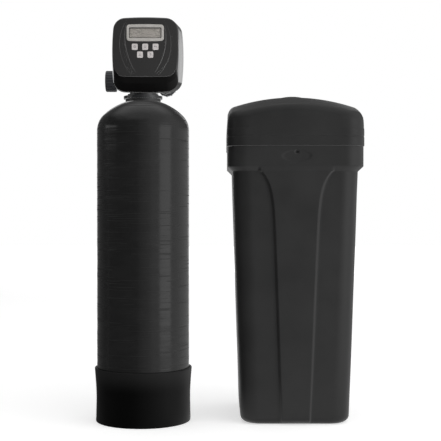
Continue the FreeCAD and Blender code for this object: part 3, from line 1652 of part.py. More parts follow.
def make_tank():
    """The blown brine tank: tapering walls, proud panels, a hollow rim and the lip for the lid."""
    wall = s.tank_wall
    lip_outer = s.lid_wall + s.slack
    lip_width, lip_depth = s.lid_width - lip_outer * 2, s.lid_depth - lip_outer * 2
    lip_corner = s.lid_corner - lip_outer
    rim = framed(s.rim_width, s.rim_depth, s.rim_corner, s.rim_height, rim_low)
    doc.recompute()
    pad = rim.Tip
    chamfer = rim.newObject("PartDesign::Chamfer", "Underside")
    chamfer.Base = (pad, edges_at(pad.Shape, 0))
    bind(chamfer, Size=s.rim_chamfer)
    rim.Tip = chamfer
    mask = plate([panel_outline()], s.rim_depth + s.panel_proud * 2,
                 y=s.tank_back + s.rim_depth / 2 + s.panel_proud, along="-y")
    panels = common(tapered(0, 0, s.panel_proud), mask)
    outside = fuse(
        tapered(0, 0), rim, panels,
        framed(lip_width, lip_depth, lip_corner, s.lip_height + wall, rim_top - wall),
    )
    rim_hollow = framed(s.rim_width - wall * 2, s.rim_depth - wall * 2, s.rim_corner - wall,
                        s.rim_height - s.rim_chamfer - wall, rim_low + s.rim_chamfer)
    rim_throat = framed(s.tank_top_width - wall * 2, s.tank_top_depth - wall * 2,
                        s.tank_corner - wall, s.rim_chamfer + wall, rim_low - wall)
    mouth = framed(lip_width - s.lip_wall * 2, lip_depth - s.lip_wall * 2,
                   lip_corner - s.lip_wall, s.lip_height + wall * 2, rim_top - wall * 2)
    tube_hole = rod(s.tube_hole_radius, wall * 3, s.tank_across, rim_front - wall,
                    s.tube_hole_height, "y")
    half = s.recess_height / 2
    straight = s.recess_width / 2 - half
    recess = plate([[
        (s.tank_across + straight, s.recess_middle - half),
        (s.tank_across + straight + half, s.recess_middle, half),
        (s.tank_across + straight, s.recess_middle + half, half),
        (s.tank_across - straight, s.recess_middle + half),
        (s.tank_across - straight - half, s.recess_middle, half),
        (s.tank_across - straight, s.recess_middle - half, half),
    ]], s.recess_depth * 2, y=rim_front + s.recess_depth, along="-y")
    overflow_hole = rod(s.overflow_radius + s.close_fit, wall * 8,
                        s.well_across + s.overflow_offset,
                        s.tank_back + tank_half("depth", s.overflow_height) - wall * 4,
                        s.overflow_height, "y")
    node("brine_tank", cut(outside, tapered(wall, wall), rim_hollow, rim_throat, mouth, recess,
                           tube_hole, overflow_hole))


def lid_form(inset):
    """The lid's pillow: arched sections at the front, middle and back, with round corners."""
    body = new_body("Lid")
    half_width = s.lid_width / 2 - inset
    half_depth = s.lid_depth / 2 - inset
    spare = s.lid_wall
    reach = half_width + spare
    profiles = (
        (s.tank_back - half_depth - spare, s.lid_corner_edge, s.lid_front_crest),
        (s.tank_back + 0, s.lid_side_edge, s.lid_crest),
        (s.tank_back + half_depth + spare, s.lid_corner_edge, s.lid_front_crest),
    )
    sections = []
    for y, edge, crest in profiles:
        sketch = sketch_on(body, "XZ_Plane", -y)
        arch = crest - edge
        bend = (half_width * half_width + arch * arch) / (arch * 2)
        edge_height = rim_top + crest - inset - bend + root(bend * bend - reach * reach)
        outline(sketch, [
            (s.tank_across - reach, rim_top - spare),
            (s.tank_across + reach, rim_top - spare),
            (s.tank_across + reach, edge_height),
            (s.tank_across - reach, edge_height, bend),
        ])
        sections.append(sketch)
    loft = body.newObject("PartDesign::AdditiveLoft", "Pillow")
    loft.Profile = sections[0]
    loft.Sections = sections[1:]
    loft.Ruled = False
    corner = s.lid_corner - inset
    frame = framed(half_width * 2, half_depth * 2, corner, s.lid_crest, rim_top)
    return common(body, frame)


def make_lid():
    """The moulded lid: a skirt with a groove round it, a pillowed roof and a small crest."""
    groove_low = rim_top + s.lid_groove_rise
    deep = s.lid_groove_depth
    band = cut(
        framed(s.lid_width + deep, s.lid_depth + deep, s.lid_corner, s.lid_groove_width,
               groove_low),
        framed(s.lid_width - deep * 2, s.lid_depth - deep * 2, s.lid_corner - deep,
               s.lid_groove_width, groove_low),
    )
    knob_low = rim_top + s.lid_crest - s.lid_knob_rise
    knob = cone(s.lid_knob_radius, s.lid_knob_radius - s.lid_knob_slope, s.lid_knob_rise * 2,
                s.tank_across, s.tank_back, knob_low)
    node("brine_lid", cut(fuse(lid_form(0), knob), lid_form(s.lid_wall), band))


# Lines inside the well: the air check's tube, and the float's rod beside it
tube_across = s.well_across + s.float_apart / 2
float_across = s.well_across - s.float_apart / 2
well_low = s.tank_wall


def make_well():
    """The brine well standing on the tank's floor, with holes round its foot, and its cap."""
    inner = s.well_radius - s.well_wall
    walls = tube(s.well_radius, inner, s.well_height, s.well_across, s.well_back, well_low)
    hole_height = well_low + s.well_hole_height
    span = s.well_radius * 2 + s.slack * 2
    start = s.well_radius + s.slack
    across = rod(s.well_hole_radius, span, s.well_across - start, s.well_back, hole_height, "x")
    through = rod(s.well_hole_radius, span, s.well_across, s.well_back - start, hole_height, "y")
    exit_hole = rod(s.overflow_radius + s.close_fit, s.well_radius + s.well_wall, s.well_across,
                    s.well_back, s.overflow_height, "y")
    node("brine_well", cut(walls, across, through, exit_hole))

    cap_outer = s.well_radius + s.well_cap_wall
    top = well_low + s.well_height
    skirt = s.well_cap_height - s.well_cap_wall
    node("well_cap", turned([
        (0, top), (s.well_radius, top), (s.well_radius, top - skirt), (cap_outer, top - skirt),
        (cap_outer, top + s.well_cap_wall), (0, top + s.well_cap_wall),
    ], s.well_across, s.well_back))


def make_grid():
    """The plate that keeps the salt off the floor, on four hollow legs, round the well."""
    gap = s.tank_wall + s.slack
    x, y, corner = s.tank_across, s.tank_back, s.tank_corner - gap
    half_width = tank_half("width", s.grid_height) - gap
    half_depth = tank_half("depth", s.grid_height) - gap
    flat = plate([rounded(half_width, half_depth, corner, x, y)], s.grid_thick, z=s.grid_height)
    holes = [rod(s.well_radius + s.slack, s.grid_thick, s.well_across, s.well_back,
                 s.grid_height)]
    columns, rows = round(s.grid_hole_columns.value), round(s.grid_hole_rows.value)
    for column in range(columns):
        for row in range(rows):
            hole_x = x + (column - (columns - 1) / 2) * s.grid_hole_pitch
            hole_y = y + (row - (rows - 1) / 2) * s.grid_hole_pitch
            reach = math.hypot(hole_x.value - s.well_across.value,
                               hole_y.value - s.well_back.value)
            if reach > s.well_radius.value + s.grid_hole_radius.value * 2:
                holes.append(rod(s.grid_hole_radius, s.grid_thick, hole_x, hole_y,
                                 s.grid_height))
    legs = []
    for side in (-1, 1):
        for end in (-1, 1):
            if (side, end) != (1, 1):
                legs.append(tube(s.grid_leg_radius, s.grid_leg_radius - s.lip_wall / 2,
                                 s.grid_height - s.tank_wall,
                                 x + side * (half_width - corner), y + end * (half_depth - corner),
                                 s.tank_wall))
    node("salt_grid", fuse(cut(flat, *holes), *legs))


def make_float():
    """The air check with its tube, and the safety float on a rod that slides in its guides."""
    low = well_low
    tube_low = low + s.air_check_height
    cage = rod(s.air_check_radius, s.air_check_height, tube_across, s.well_back, low)
    lift_tube = rod(s.brine_tube_radius, s.brine_tube_height - tube_low, tube_across,
                    s.well_back, tube_low)
    guides, holes = [], []
    for height in (s.float_middle - s.float_height * 2, s.float_middle + s.float_height * 2):
        middle = (tube_across + float_across) / 2
        width = s.float_apart + s.brine_tube_radius * 2
        guides.append(block(width, s.brine_tube_radius * 2, s.guide_thick, middle, s.well_back,
                            height))
        holes.append(rod(s.float_rod_radius + s.close_fit, s.guide_thick, float_across,
                         s.well_back, height))
    hollow = rod(s.tube_socket_radius - s.lip_wall / 2, s.brine_tube_height - low, tube_across,
                 s.well_back, low + s.air_check_height / 2)
    node("air_check", cut(fuse(cage, lift_tube, *guides), hollow, *holes))

    rod_low = low + s.air_check_height
    stem = rod(s.float_rod_radius, s.float_rod_height - rod_low, float_across, s.well_back,
               rod_low)
    float_low = s.float_middle - s.float_height / 2
    edge = s.float_rod_radius
    bulb_radius = s.float_apart - s.brine_tube_radius - s.slack * 2
    bulb = turned([
        (0, float_low), (bulb_radius - edge, float_low), (bulb_radius, float_low + edge, edge),
        (bulb_radius, float_low + s.float_height - edge),
        (bulb_radius - edge, float_low + s.float_height, edge), (0, float_low + s.float_height),
    ], float_across, s.well_back)
    node("safety_float", fuse(stem, bulb))


def make_overflow():
    """The overflow elbow through the tank's back wall, and the nut that holds it inside."""
    wall_back = s.tank_back + tank_half("depth", s.overflow_height)
    across = s.well_across + s.overflow_offset
    slope = (s.tank_top_depth - s.tank_foot_depth) / 2 / s.tank_wall_height
    thread_front = wall_back - s.overflow_thread_length
    flange = rod(s.overflow_flange_radius, s.overflow_flange_thick, across,
                 wall_back + s.overflow_flange_radius * slope + s.running_fit,
                 s.overflow_height, "y")
    thread = rod(s.overflow_radius, s.overflow_thread_length + s.overflow_arm_length,
                 across, thread_front, s.overflow_height, "y")
    elbow_back = wall_back + s.overflow_arm_length
    arm = rod(s.overflow_radius, s.overflow_arm_length, across, elbow_back,
              s.overflow_height, "-z")
    knee = s.overflow_radius * 1.25
    corner = rod(knee, knee * 2, across, elbow_back, s.overflow_height - knee)
    bore = rod(s.overflow_bore_radius, s.overflow_thread_length + s.overflow_arm_length,
               across, thread_front, s.overflow_height, "y")
    drop = rod(s.overflow_bore_radius - s.slack, s.overflow_arm_length, across, elbow_back,
               s.overflow_height, "-z")
    node("overflow_elbow", cut(fuse(flange, thread, arm, corner), bore, drop))
    nut_back = wall_back - s.tank_wall - s.overflow_nut_radius * slope - s.running_fit
    node("overflow_nut", tube(s.overflow_nut_radius, s.overflow_radius + s.close_fit,
                              s.overflow_nut_thick, across,
                              nut_back - s.overflow_nut_thick, s.overflow_height, "y"))


make_injector()
make_elbows()
make_meter()
make_bypass()
make_couplings()
make_tank()
make_lid()
make_well()
make_grid()
make_float()
make_overflow()
doc.recompute()

# Every object has to be sound before any file is written
faults = [thing.Label for thing in doc.Objects if {"Invalid", "Error"} & set(thing.State)]
if faults:
    raise RuntimeError(f"objects that failed: {faults}")
for thing in nodes:
    if thing.Shape.isNull() or not thing.Shape.isValid() or not thing.Shape.Solids:
        raise RuntimeError(f"no sound solid in {thing.Label}")

os.makedirs("parts", exist_ok=True)
for thing in nodes:
    thing.Shape.exportStep(os.path.join("parts", thing.Label + ".step"))
print(len(nodes), "sub-parts written")
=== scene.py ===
"""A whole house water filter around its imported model: vessel, control head and brine tank."""

import math

import bpy
import numpy as np
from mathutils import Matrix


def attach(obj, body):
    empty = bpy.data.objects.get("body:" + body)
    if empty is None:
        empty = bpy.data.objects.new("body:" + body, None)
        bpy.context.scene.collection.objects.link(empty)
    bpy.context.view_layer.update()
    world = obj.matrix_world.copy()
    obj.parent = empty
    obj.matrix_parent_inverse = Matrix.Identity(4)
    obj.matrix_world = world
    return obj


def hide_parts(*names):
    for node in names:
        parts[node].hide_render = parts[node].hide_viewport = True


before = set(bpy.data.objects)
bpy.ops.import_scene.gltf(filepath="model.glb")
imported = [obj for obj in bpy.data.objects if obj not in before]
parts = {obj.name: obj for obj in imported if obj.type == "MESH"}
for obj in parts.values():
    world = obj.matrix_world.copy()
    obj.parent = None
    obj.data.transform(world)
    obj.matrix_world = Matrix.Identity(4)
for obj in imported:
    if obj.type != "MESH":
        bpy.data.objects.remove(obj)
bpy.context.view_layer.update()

scene = bpy.context.scene
MM = 0.001


# The view: straight on to the fronts from nearly 3 m, at about half the height of the whole,
# and tilted down by half a degree.
camera = bpy.data.objects.new("camera", bpy.data.cameras.new("camera"))
camera.data.sensor_width = 36
camera.data.lens = 85.55
camera.location = (0.2164, -2.935, 0.587)
camera.rotation_euler = (math.radians(89.4424), 0, 0)
scene.collection.objects.link(camera)
scene.camera = camera
scene.view_settings.view_transform = "Standard"


# The studio: a dome that the camera doesn't see, white behind the object, dim in front and on
# the left where gloss black shows it, with a bright ceiling. Cards on the floor repeat its walls,
# and one tall soft lamp at the front right draws the stripe down the vessel.
def feed(tree, place, value):
    """Gives an input a plain value, or links it to a socket."""
    if isinstance(value, bpy.types.NodeSocket):
        tree.links.new(value, place)
    else:
        place.default_value = value


def fill(tree, node, **values):
    """Feeds a node's inputs, by name."""
    for name, value in values.items():
        feed(tree, node.inputs[name.replace("_", " ")], value)


def add(tree, kind, **settings):
    """Adds a node. Settings in small letters are its properties, the rest name its inputs."""
    made = tree.nodes.new("ShaderNode" + kind)
    for name, value in settings.items():
        if name[0].islower():
            setattr(made, name, value)
        else:
            fill(tree, made, **{name: value})
    return made


def compute(tree, operation, *values):
    """One step of arithmetic on sockets or plain numbers."""
    made = add(tree, "Math", operation=operation)
    for place, value in zip(made.inputs, values):
        feed(tree, place, value)
    return made.outputs[0]


def new_tree(name, keep_shader=False):
    """A new material and its tree, with or without the shader it comes with."""
    material = bpy.data.materials.new(name)
    material.use_nodes = True
    tree = material.node_tree
    if not keep_shader:
        tree.nodes.remove(tree.nodes["Principled BSDF"])
    return material, tree


world = bpy.data.worlds.new("studio")
world.use_nodes = True
world.node_tree.nodes["Background"].inputs["Color"].default_value = (1, 1, 1, 1)
scene.world = world

# Bearings and rises are in degrees: bearings from the camera's side round to the right, rises
# from the floor up. A tone of 1 is white.
WALL_BEARINGS = (-180, -163, -158, -140, -94, -92, -90, -10, -4, 12, 20, 26, 43, 76, 110, 126, 150,
                 158, 162, 180)
WALL_TONES = (1, 1, 0.25, 0.17, 0.17, 0.4, 0.19, 0.27, 0.45, 0.65, 0.78, 1.05, 1.1, 1.2, 1.05, 0.8,
              0.45, 0.5, 1, 1)
WALL_RISES = (11, 15)
UPPER_WALL_BEARINGS = (90, 150)
UPPER_WALL_TONE = 0.16
CEILING_RISES = (45, 60)
CEILING_TONE = 0.95
CARD_TONE = 1.5
CARD_BEARINGS = (-104, -66)
CARD_RISES = (13, 21)
SIDE_CARD_LEFT = -162
SIDE_CARD_RIGHT = (156, 166)
SIDE_CARD_RISE = 32
DOME_REACH = 7.0
FLOOR_CARD_HEIGHT = 0.001
STRIP_EDGES = (44, 74)
STRIP_TONE = 0.5


def glowing(name, points, tone):
    """A grid of points as a sheet that glows by each point's tone, unseen by the camera."""
    rows, columns = tone.shape
    row, column = np.mgrid[0:rows - 1, 0:columns - 1]
    first = row * columns + column
    faces = np.stack([first, first + 1, first + columns + 1, first + columns], axis=-1)
    mesh = bpy.data.meshes.new(name)
    mesh.from_pydata(points.reshape(-1, 3), [], faces.reshape(-1, 4))
    mesh.attributes.new("tone", "FLOAT", "POINT").data.foreach_set("value", tone.ravel())
    material, tree = new_tree(name)
    tones = add(tree, "Attribute", attribute_name="tone")
    glow = add(tree, "Emission", Color=(1, 1, 1, 1), Strength=tones.outputs["Fac"])
    fill(tree, tree.nodes["Material Output"], Surface=glow.outputs[0])
    mesh.materials.append(material)
    sheet = bpy.data.objects.new(name, mesh)
    sheet.visible_camera = False
    scene.collection.objects.link(sheet)
    return sheet


def studio_dome():
    """A half sphere: the walls by bearing at its foot, dim behind above them, a bright ceiling.

    A white card on the left, higher than the vessel's gloss reaches, draws the ribs of the face,
    and one behind each side of the head whitens the sides of its cover. A point's x is the reach
    times the sine of the bearing and the cosine of the rise, its y less the cosine of both, and
    its z the sine of the rise.
    """
    turn, rise = np.meshgrid(np.linspace(-180, 180, 181), np.linspace(0, 90, 46))
    wall = np.interp(turn, WALL_BEARINGS, WALL_TONES)
    behind = np.interp(np.abs(turn), UPPER_WALL_BEARINGS, (0, 1))
    tone = wall + (UPPER_WALL_TONE - wall) * behind * np.interp(rise, WALL_RISES, (0, 1))
    tone += (CEILING_TONE - tone) * np.interp(rise, CEILING_RISES, (0, 1))
    on_card = ((turn >= CARD_BEARINGS[0]) & (turn <= CARD_BEARINGS[1])
               & (rise >= CARD_RISES[0]) & (rise <= CARD_RISES[1]))
    tone = np.where(on_card, CARD_TONE, tone)
    behind_head = (turn <= SIDE_CARD_LEFT) | ((turn >= SIDE_CARD_RIGHT[0])
                                              & (turn <= SIDE_CARD_RIGHT[1]))
    tone = np.where(behind_head & (rise < SIDE_CARD_RISE), 1, tone)
    turn, rise = np.radians(turn), np.radians(rise)
    points = DOME_REACH * np.stack([np.sin(turn) * np.cos(rise), -np.cos(turn) * np.cos(rise),
                                    np.sin(rise)], axis=-1)
    glowing("studio_dome", points, tone)


def floor_cards():
    """A disc on the floor that only gloss shows: the walls' tones by bearing, and the lamp's."""
    turn, reach = np.meshgrid(np.linspace(-180, 180, 361), (0.02, DOME_REACH))
    tone = np.interp(turn, WALL_BEARINGS, WALL_TONES)
    tone[(turn > STRIP_EDGES[0]) & (turn < STRIP_EDGES[1])] += STRIP_TONE
    turn = np.radians(turn)
    points = np.stack([reach * np.sin(turn), -reach * np.cos(turn),
                       np.full(turn.shape, FLOOR_CARD_HEIGHT)], axis=-1)
    cards = glowing("floor_cards", points, tone)
    cards.visible_diffuse = False
    cards.visible_transmission = False
    cards.visible_shadow = False


studio_dome()
floor_cards()

STRIP_BEARING = math.radians(59)
STRIP_DISTANCE = 2.2
STRIP_HEIGHT = 0.85
strip = bpy.data.lights.new("strip_softbox", "AREA")
strip.shape = "RECTANGLE"
strip.size = 1.18
strip.size_y = 1.9
strip.energy = 8.5
strip_stand = bpy.data.objects.new("strip_softbox", strip)
strip_stand.location = (STRIP_DISTANCE * math.sin(STRIP_BEARING),
                        -STRIP_DISTANCE * math.cos(STRIP_BEARING), STRIP_HEIGHT)
strip_stand.rotation_euler = (math.radians(90), 0, STRIP_BEARING)
strip_stand.visible_camera = False
scene.collection.objects.link(strip_stand)


FLOOR_REACH = 14
FLOOR_LIFT = 0.55


def pale_floor():
    """A matt pale floor that the camera, gloss and glass see lifted to white."""
    material, tree = new_tree("studio_floor")
    matt = add(tree, "BsdfDiffuse", Color=(0.8, 0.8, 0.8, 1))
    rays = add(tree, "LightPath").outputs
    seen = compute(tree, "MAXIMUM", rays["Is Camera Ray"], rays["Is Glossy Ray"])
    seen = compute(tree, "MAXIMUM", seen, rays["Is Transmission Ray"])
    glow = add(tree, "Emission", Color=(1, 1, 1, 1),
               Strength=compute(tree, "MULTIPLY", seen, FLOOR_LIFT))
    both = add(tree, "AddShader")
    feed(tree, both.inputs[0], matt.outputs[0])
    feed(tree, both.inputs[1], glow.outputs[0])
    fill(tree, tree.nodes["Material Output"], Surface=both.outputs[0])
    return material


floor_mesh = bpy.data.meshes.new("floor")
corners = FLOOR_REACH * np.array([(-1, -1, 0), (1, -1, 0), (1, 1, 0), (-1, 1, 0)])
floor_mesh.from_pydata(corners, [], [(0, 1, 2, 3)])
floor_mesh.materials.append(pale_floor())
floor = bpy.data.objects.new("floor", floor_mesh)
scene.collection.objects.link(floor)


# The boot the vessel stands in: a black rubber cup, a little wider at its mouth, with a soft
# waist. It is moulded in one piece, and the vessel's round bottom sits on a ring inside it.
def noise(tree, where, size, detail=3.0):
    """Soft noise whose lumps are about this many metres across."""
    return add(tree, "TexNoise", Scale=1 / size, Detail=detail, Vector=where).outputs["Fac"]


def between(tree, factor, low, high):
    """A number that goes from low to high as the middle of a noise does."""
    return add(tree, "MapRange", Value=factor, From_Min=0.3, From_Max=0.7, To_Min=low,
               To_Max=high).outputs[0]


def blend(tree, factor, first, second):
    """A colour mixed from two, by a factor of 0 to 1."""
    made = add(tree, "Mix", data_type="RGBA", Factor=factor)
    feed(tree, made.inputs[6], first)
    feed(tree, made.inputs[7], second)
    return made.outputs[2]


def shade(tree, factor, dark, light):
    """A colour that goes from dark to light as the middle of a noise does."""
    return blend(tree, between(tree, factor, 0, 1), (*dark, 1), (*light, 1))


def raise_bump(tree, height, depth, **earlier):
    """Turns a height of 0 to 1 into a relief in metres. An earlier one is given as Normal."""
    return add(tree, "Bump", Strength=1, Distance=depth, Height=height, **earlier).outputs[0]


def spread(tree, stretch=(1, 1, 1), turn=(0, 0, 0)):
    """The piece's own place in metres, stretched along each axis and turned."""
    place = add(tree, "TexCoord").outputs["Object"]
    return add(tree, "Mapping", Vector=place, Scale=stretch, Rotation=turn).outputs[0]


def new_finish(name, **values):
    """A material, its tree and its shader, with values by the names of its inputs."""
    material, tree = new_tree(name, keep_shader=True)
    shader = tree.nodes["Principled BSDF"]
    fill(tree, shader, **values)
    return material, tree, shader


def moulded(name, dark, light, patch, gloss, grain, depth, **values):
    """Moulded plastic or rubber: soft patches of tone, uneven gloss and a fine grain.

    One noise of the patch's size sets the colour between dark and light and the roughness
    between the two values of gloss. A second noise of the grain's size is the relief.
    """
    material, tree, shader = new_finish(name, **values)
    where = spread(tree)
    patches = noise(tree, where, patch)
    pores = noise(tree, where, grain, detail=2)
    fill(tree, shader, Base_Color=shade(tree, patches, dark, light),
         Roughness=between(tree, patches, *gloss), Normal=raise_bump(tree, pores, depth))
    return material


def make_mesh(name, points, faces):
    """A mesh object from points in metres and lists of faces, turned to face outwards.

    The sum over all faces of a corner dotted with the cross product of the next two is six
    times the volume. It is below zero where the faces point inwards.
    """
    triangles = np.vstack([shape[:, (0, turn, turn + 1)] for shape in faces
                           for turn in range(1, shape.shape[1] - 1)])
    corners = points[triangles]
    volume = np.einsum("ij,ij->", corners[:, 0], np.cross(corners[:, 1], corners[:, 2]))
    if volume < 0:
        faces = [shape[:, ::-1] for shape in faces]
    mesh = bpy.data.meshes.new(name)
    mesh.from_pydata(points, [], [face for shape in faces for face in shape.tolist()])
    mesh.shade_smooth()
    piece = bpy.data.objects.new(name, mesh)
    scene.collection.objects.link(piece)
    return piece


def skin(name, grid, poles=(), ring=False):
    """Skins a grid of points whose columns run right round, and closes it at poles or as a ring.

    Row r and column c join r + 1 and c + 1 in one face, and the last column joins the first.
    poles holds the point below the first row and the point above the last one. In a ring the
    last row joins the first.
    """
    rows, columns = grid.shape[:2]
    row, column = np.mgrid[0:rows if ring else rows - 1, 0:columns]
    following = (column + 1) % columns
    above = (row + 1) % rows
    quads = np.stack([row * columns + column, row * columns + following,
                      above * columns + following, above * columns + column], axis=-1)
    points = grid.reshape(-1, 3)
    faces = [quads.reshape(-1, 4)]
    if len(poles):
        around = np.arange(columns)
        after = (around + 1) % columns
        pole = np.full(columns, len(points))
        last = (rows - 1) * columns
        faces += [np.stack([pole, after, around], axis=-1),
                  np.stack([last + around, last + after, pole + 1], axis=-1)]
        points = np.vstack([points, np.array(poles, float)])
    return make_mesh(name, points, faces)


def dress(piece, material, body="root", instead_of=(), crease=None):
    """Gives a new piece its material and slot, the body it rides on, and the nodes it replaces."""
    piece.data.materials.append(material)
    if crease:
        piece.data.set_sharp_from_angle(angle=math.radians(crease))
    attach(piece, body)
    if instead_of:
        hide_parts(*instead_of)


def round_angles(columns):
    """Even angles in radians, once round."""
    return np.arange(columns) * 2 * np.pi / columns


def turn_profile(name, profile, relief):
    """Turns a profile of radius and height, in mm, once round the z axis.

    x is the radius times the cosine of the angle and y the radius times its sine. relief, an
    array of one value for each row and column, is added to the radius.
    """
    angle = round_angles(relief.shape[1])
    radius = profile[1:-1, :1] + relief[1:-1]
    height = np.broadcast_to(profile[1:-1, 1:], radius.shape)
    grid = np.stack([radius * np.cos(angle), radius * np.sin(angle), height], axis=-1) * MM
    poles = [(0, 0, profile[0, 1] * MM), (0, 0, profile[-1, 1] * MM)]
    return skin(name, grid, poles)


def arc(middle_r, middle_z, radius, start, end, steps):
    """Profile points on a circle: its middle plus radius times the angle's cosine and sine."""
    angle = np.radians(np.linspace(start, end, steps))
    return np.stack([middle_r + radius * np.cos(angle),
                     middle_z + radius * np.sin(angle)], axis=-1)


def straight(start, end, steps):
    """Profile points evenly along a line, without its two ends."""
    return np.linspace(start, end, steps + 2)[1:-1]


BOOT_FOOT = 132.0
BOOT_FOOT_ROUND = 2.5
BOOT_MOUTH = 135.6
BOOT_MOUTH_ROUND = 3.0
BOOT_LIP = 2.0
BOOT_HEIGHT = 150.0
BOOT_WAIST = 1.5
BOOT_INSIDE = 128.8
BOOT_FLOOR = 5.0
wall_heights = np.linspace(BOOT_FLOOR, BOOT_HEIGHT - 4, 40)
up_wall = wall_heights / BOOT_HEIGHT
wall_radii = (BOOT_FOOT + (BOOT_MOUTH - BOOT_FOOT) * up_wall ** 3
              - BOOT_WAIST * np.sin(np.pi * up_wall) ** 2)
boot_profile = np.vstack([
    [(0, 0)],
    straight((0, 0), (BOOT_FOOT - BOOT_FOOT_ROUND, 0), 4),
    arc(BOOT_FOOT - BOOT_FOOT_ROUND, BOOT_FOOT_ROUND, BOOT_FOOT_ROUND, -90, 0, 7),
    np.stack([wall_radii, wall_heights], axis=-1),
    arc(BOOT_MOUTH - BOOT_MOUTH_ROUND, BOOT_HEIGHT - BOOT_MOUTH_ROUND, BOOT_MOUTH_ROUND,
        20, 90, 6),
    arc(BOOT_INSIDE + BOOT_LIP, BOOT_HEIGHT - BOOT_LIP, BOOT_LIP, 90, 180, 5),
    straight((BOOT_INSIDE, BOOT_HEIGHT - BOOT_LIP), (BOOT_INSIDE, BOOT_FLOOR), 10),
    [(BOOT_INSIDE, BOOT_FLOOR)],
    straight((BOOT_INSIDE, BOOT_FLOOR), (0, BOOT_FLOOR), 6),
    [(0, BOOT_FLOOR)],
])
boot_angle = round_angles(192)
on_outside = ((boot_profile[:, 0] > BOOT_INSIDE + 1)
              & (boot_profile[:, 1] > BOOT_FLOOR))[:, None]
boot_sag = 0.25 * np.sin(3 * boot_angle + 1.1) + 0.18 * np.sin(7 * boot_angle + 0.4)
boot = turn_profile("rubber_boot", boot_profile, on_outside * boot_sag)


def boot_finish():
    """Black rubber, greyer towards its mouth, with soft patches and pores."""
    material, tree, shader = new_finish("boot_rubber", Specular_IOR_Level=0.085)
    patches = noise(tree, spread(tree), 0.06)
    black = shade(tree, patches, (0.0006,) * 3, (0.001,) * 3)
    height = add(tree, "SeparateXYZ", Vector=spread(tree)).outputs["Z"]
    toward_mouth = add(tree, "MapRange", interpolation_type="SMOOTHSTEP", Value=height,
                  From_Min=0.09, From_Max=0.15)
    pores = noise(tree, spread(tree), 0.0012, detail=2)
    fill(tree, shader, Normal=raise_bump(tree, pores, 0.00003),
         Base_Color=blend(tree, toward_mouth.outputs[0], black, (0.015, 0.015, 0.015, 1)),
         Roughness=between(tree, patches, 0.4, 0.5))
    return material


dress(boot, boot_finish(), instead_of=["vessel_boot"], crease=40)


# The pressure vessel: a plastic liner wound with resin-soaked glass thread, then painted black.
# The turns of thread leave long, almost level ridges, and the resin small dents on the dome.
VESSEL_RADIUS = 128.5
CROWN = 158.0
KNUCKLE = 60.0
WALL_LOW = 95.9
WALL_HIGH = 809.1
NECK_HOLE = 49.3
WINDING = 2.6
OUTER_STEPS = (10, 9, 400, 30, 25)
RIDGE_HEIGHT = 0.0009
ROUGH_AT_FOOT = 1.35
ROUGH_LOST = 0.5
DENTS = 70
DENT_HEIGHTS = (806, 858)
DENT_SIZES = (7, 15)
DENT_DEPTHS = (-0.7, 0.5)
DENT_SQUASH = 1.6
knuckle_at = VESSEL_RADIUS - KNUCKLE
crown_drop = math.sqrt((CROWN - KNUCKLE) ** 2 - knuckle_at ** 2)
join_angle = math.degrees(math.atan2(crown_drop, knuckle_at))
hole_angle = math.degrees(math.acos(NECK_HOLE / CROWN))
inner_hole = math.degrees(math.acos(NECK_HOLE / (CROWN - WINDING)))
vessel_profile = np.vstack([
    arc(0, WALL_LOW + crown_drop, CROWN, -90, -join_angle, OUTER_STEPS[0]),
    arc(knuckle_at, WALL_LOW, KNUCKLE, -join_angle, 0, OUTER_STEPS[1] + 1)[1:],
    straight((VESSEL_RADIUS, WALL_LOW), (VESSEL_RADIUS, WALL_HIGH), OUTER_STEPS[2]),
    arc(knuckle_at, WALL_HIGH, KNUCKLE, 0, join_angle, OUTER_STEPS[3]),
    arc(0, WALL_HIGH - crown_drop, CROWN, join_angle, hole_angle, OUTER_STEPS[4] + 1)[1:],
    arc(0, WALL_HIGH - crown_drop, CROWN - WINDING, inner_hole, join_angle, 5),
    arc(knuckle_at, WALL_HIGH, KNUCKLE - WINDING, join_angle, 0, 5)[1:],
    straight((VESSEL_RADIUS - WINDING, WALL_HIGH), (VESSEL_RADIUS - WINDING, WALL_LOW), 3),
    arc(knuckle_at, WALL_LOW, KNUCKLE - WINDING, 0, -join_angle, 5),
    arc(0, WALL_LOW + crown_drop, CROWN - WINDING, -join_angle, -90, 5)[1:],
])


def wound_relief(heights, angle, seed):
    """Ridges of the winding, in mm: a sum of waves that lean a little and close on themselves.

    Each wave is a cosine of the height over its length plus a whole number times the angle.
    Long waves are deeper than short ones, and the lower wall is rougher than the upper one.
    """
    chance = np.random.default_rng(seed)
    relief = np.zeros((len(heights), len(angle)))
    for length in (6.5, 8, 10, 13, 17, 23, 31, 44, 60, 90):
        for lean in (-2, 0, 1, 3):
            phase = chance.uniform(0, 2 * np.pi)
            strength = chance.uniform(0.4, 1) * RIDGE_HEIGHT * length ** 0.9
            relief += strength * np.cos(2 * np.pi * heights[:, None] / length
                                        + lean * angle + phase)
    return relief * (ROUGH_AT_FOOT - ROUGH_LOST * heights[:, None] / WALL_HIGH)


vessel_heights = vessel_profile[:, 1]
# The relief ends two rows before the neck's hole, where the valve's flange bears.
is_outer = np.arange(len(vessel_profile)) < sum(OUTER_STEPS) - 2
vessel_angle = round_angles(184)
winding_height = wound_relief(vessel_heights, vessel_angle, 5)
dome_chance = np.random.default_rng(9)
dents = np.zeros_like(winding_height)
for middle_angle, middle_height, size, deep in zip(
        dome_chance.uniform(0, 2 * np.pi, DENTS), dome_chance.uniform(*DENT_HEIGHTS, DENTS),
        dome_chance.uniform(*DENT_SIZES, DENTS), dome_chance.uniform(*DENT_DEPTHS, DENTS)):
    aside = np.angle(np.exp(1j * (vessel_angle - middle_angle))) * VESSEL_RADIUS
    above = (vessel_heights[:, None] - middle_height) * DENT_SQUASH
    dents += deep * np.exp(-(aside[None, :] ** 2 + above ** 2) / size ** 2)
vessel_relief = np.where(is_outer[:, None], winding_height + dents, 0)
vessel = turn_profile("wound_vessel", vessel_profile, vessel_relief)


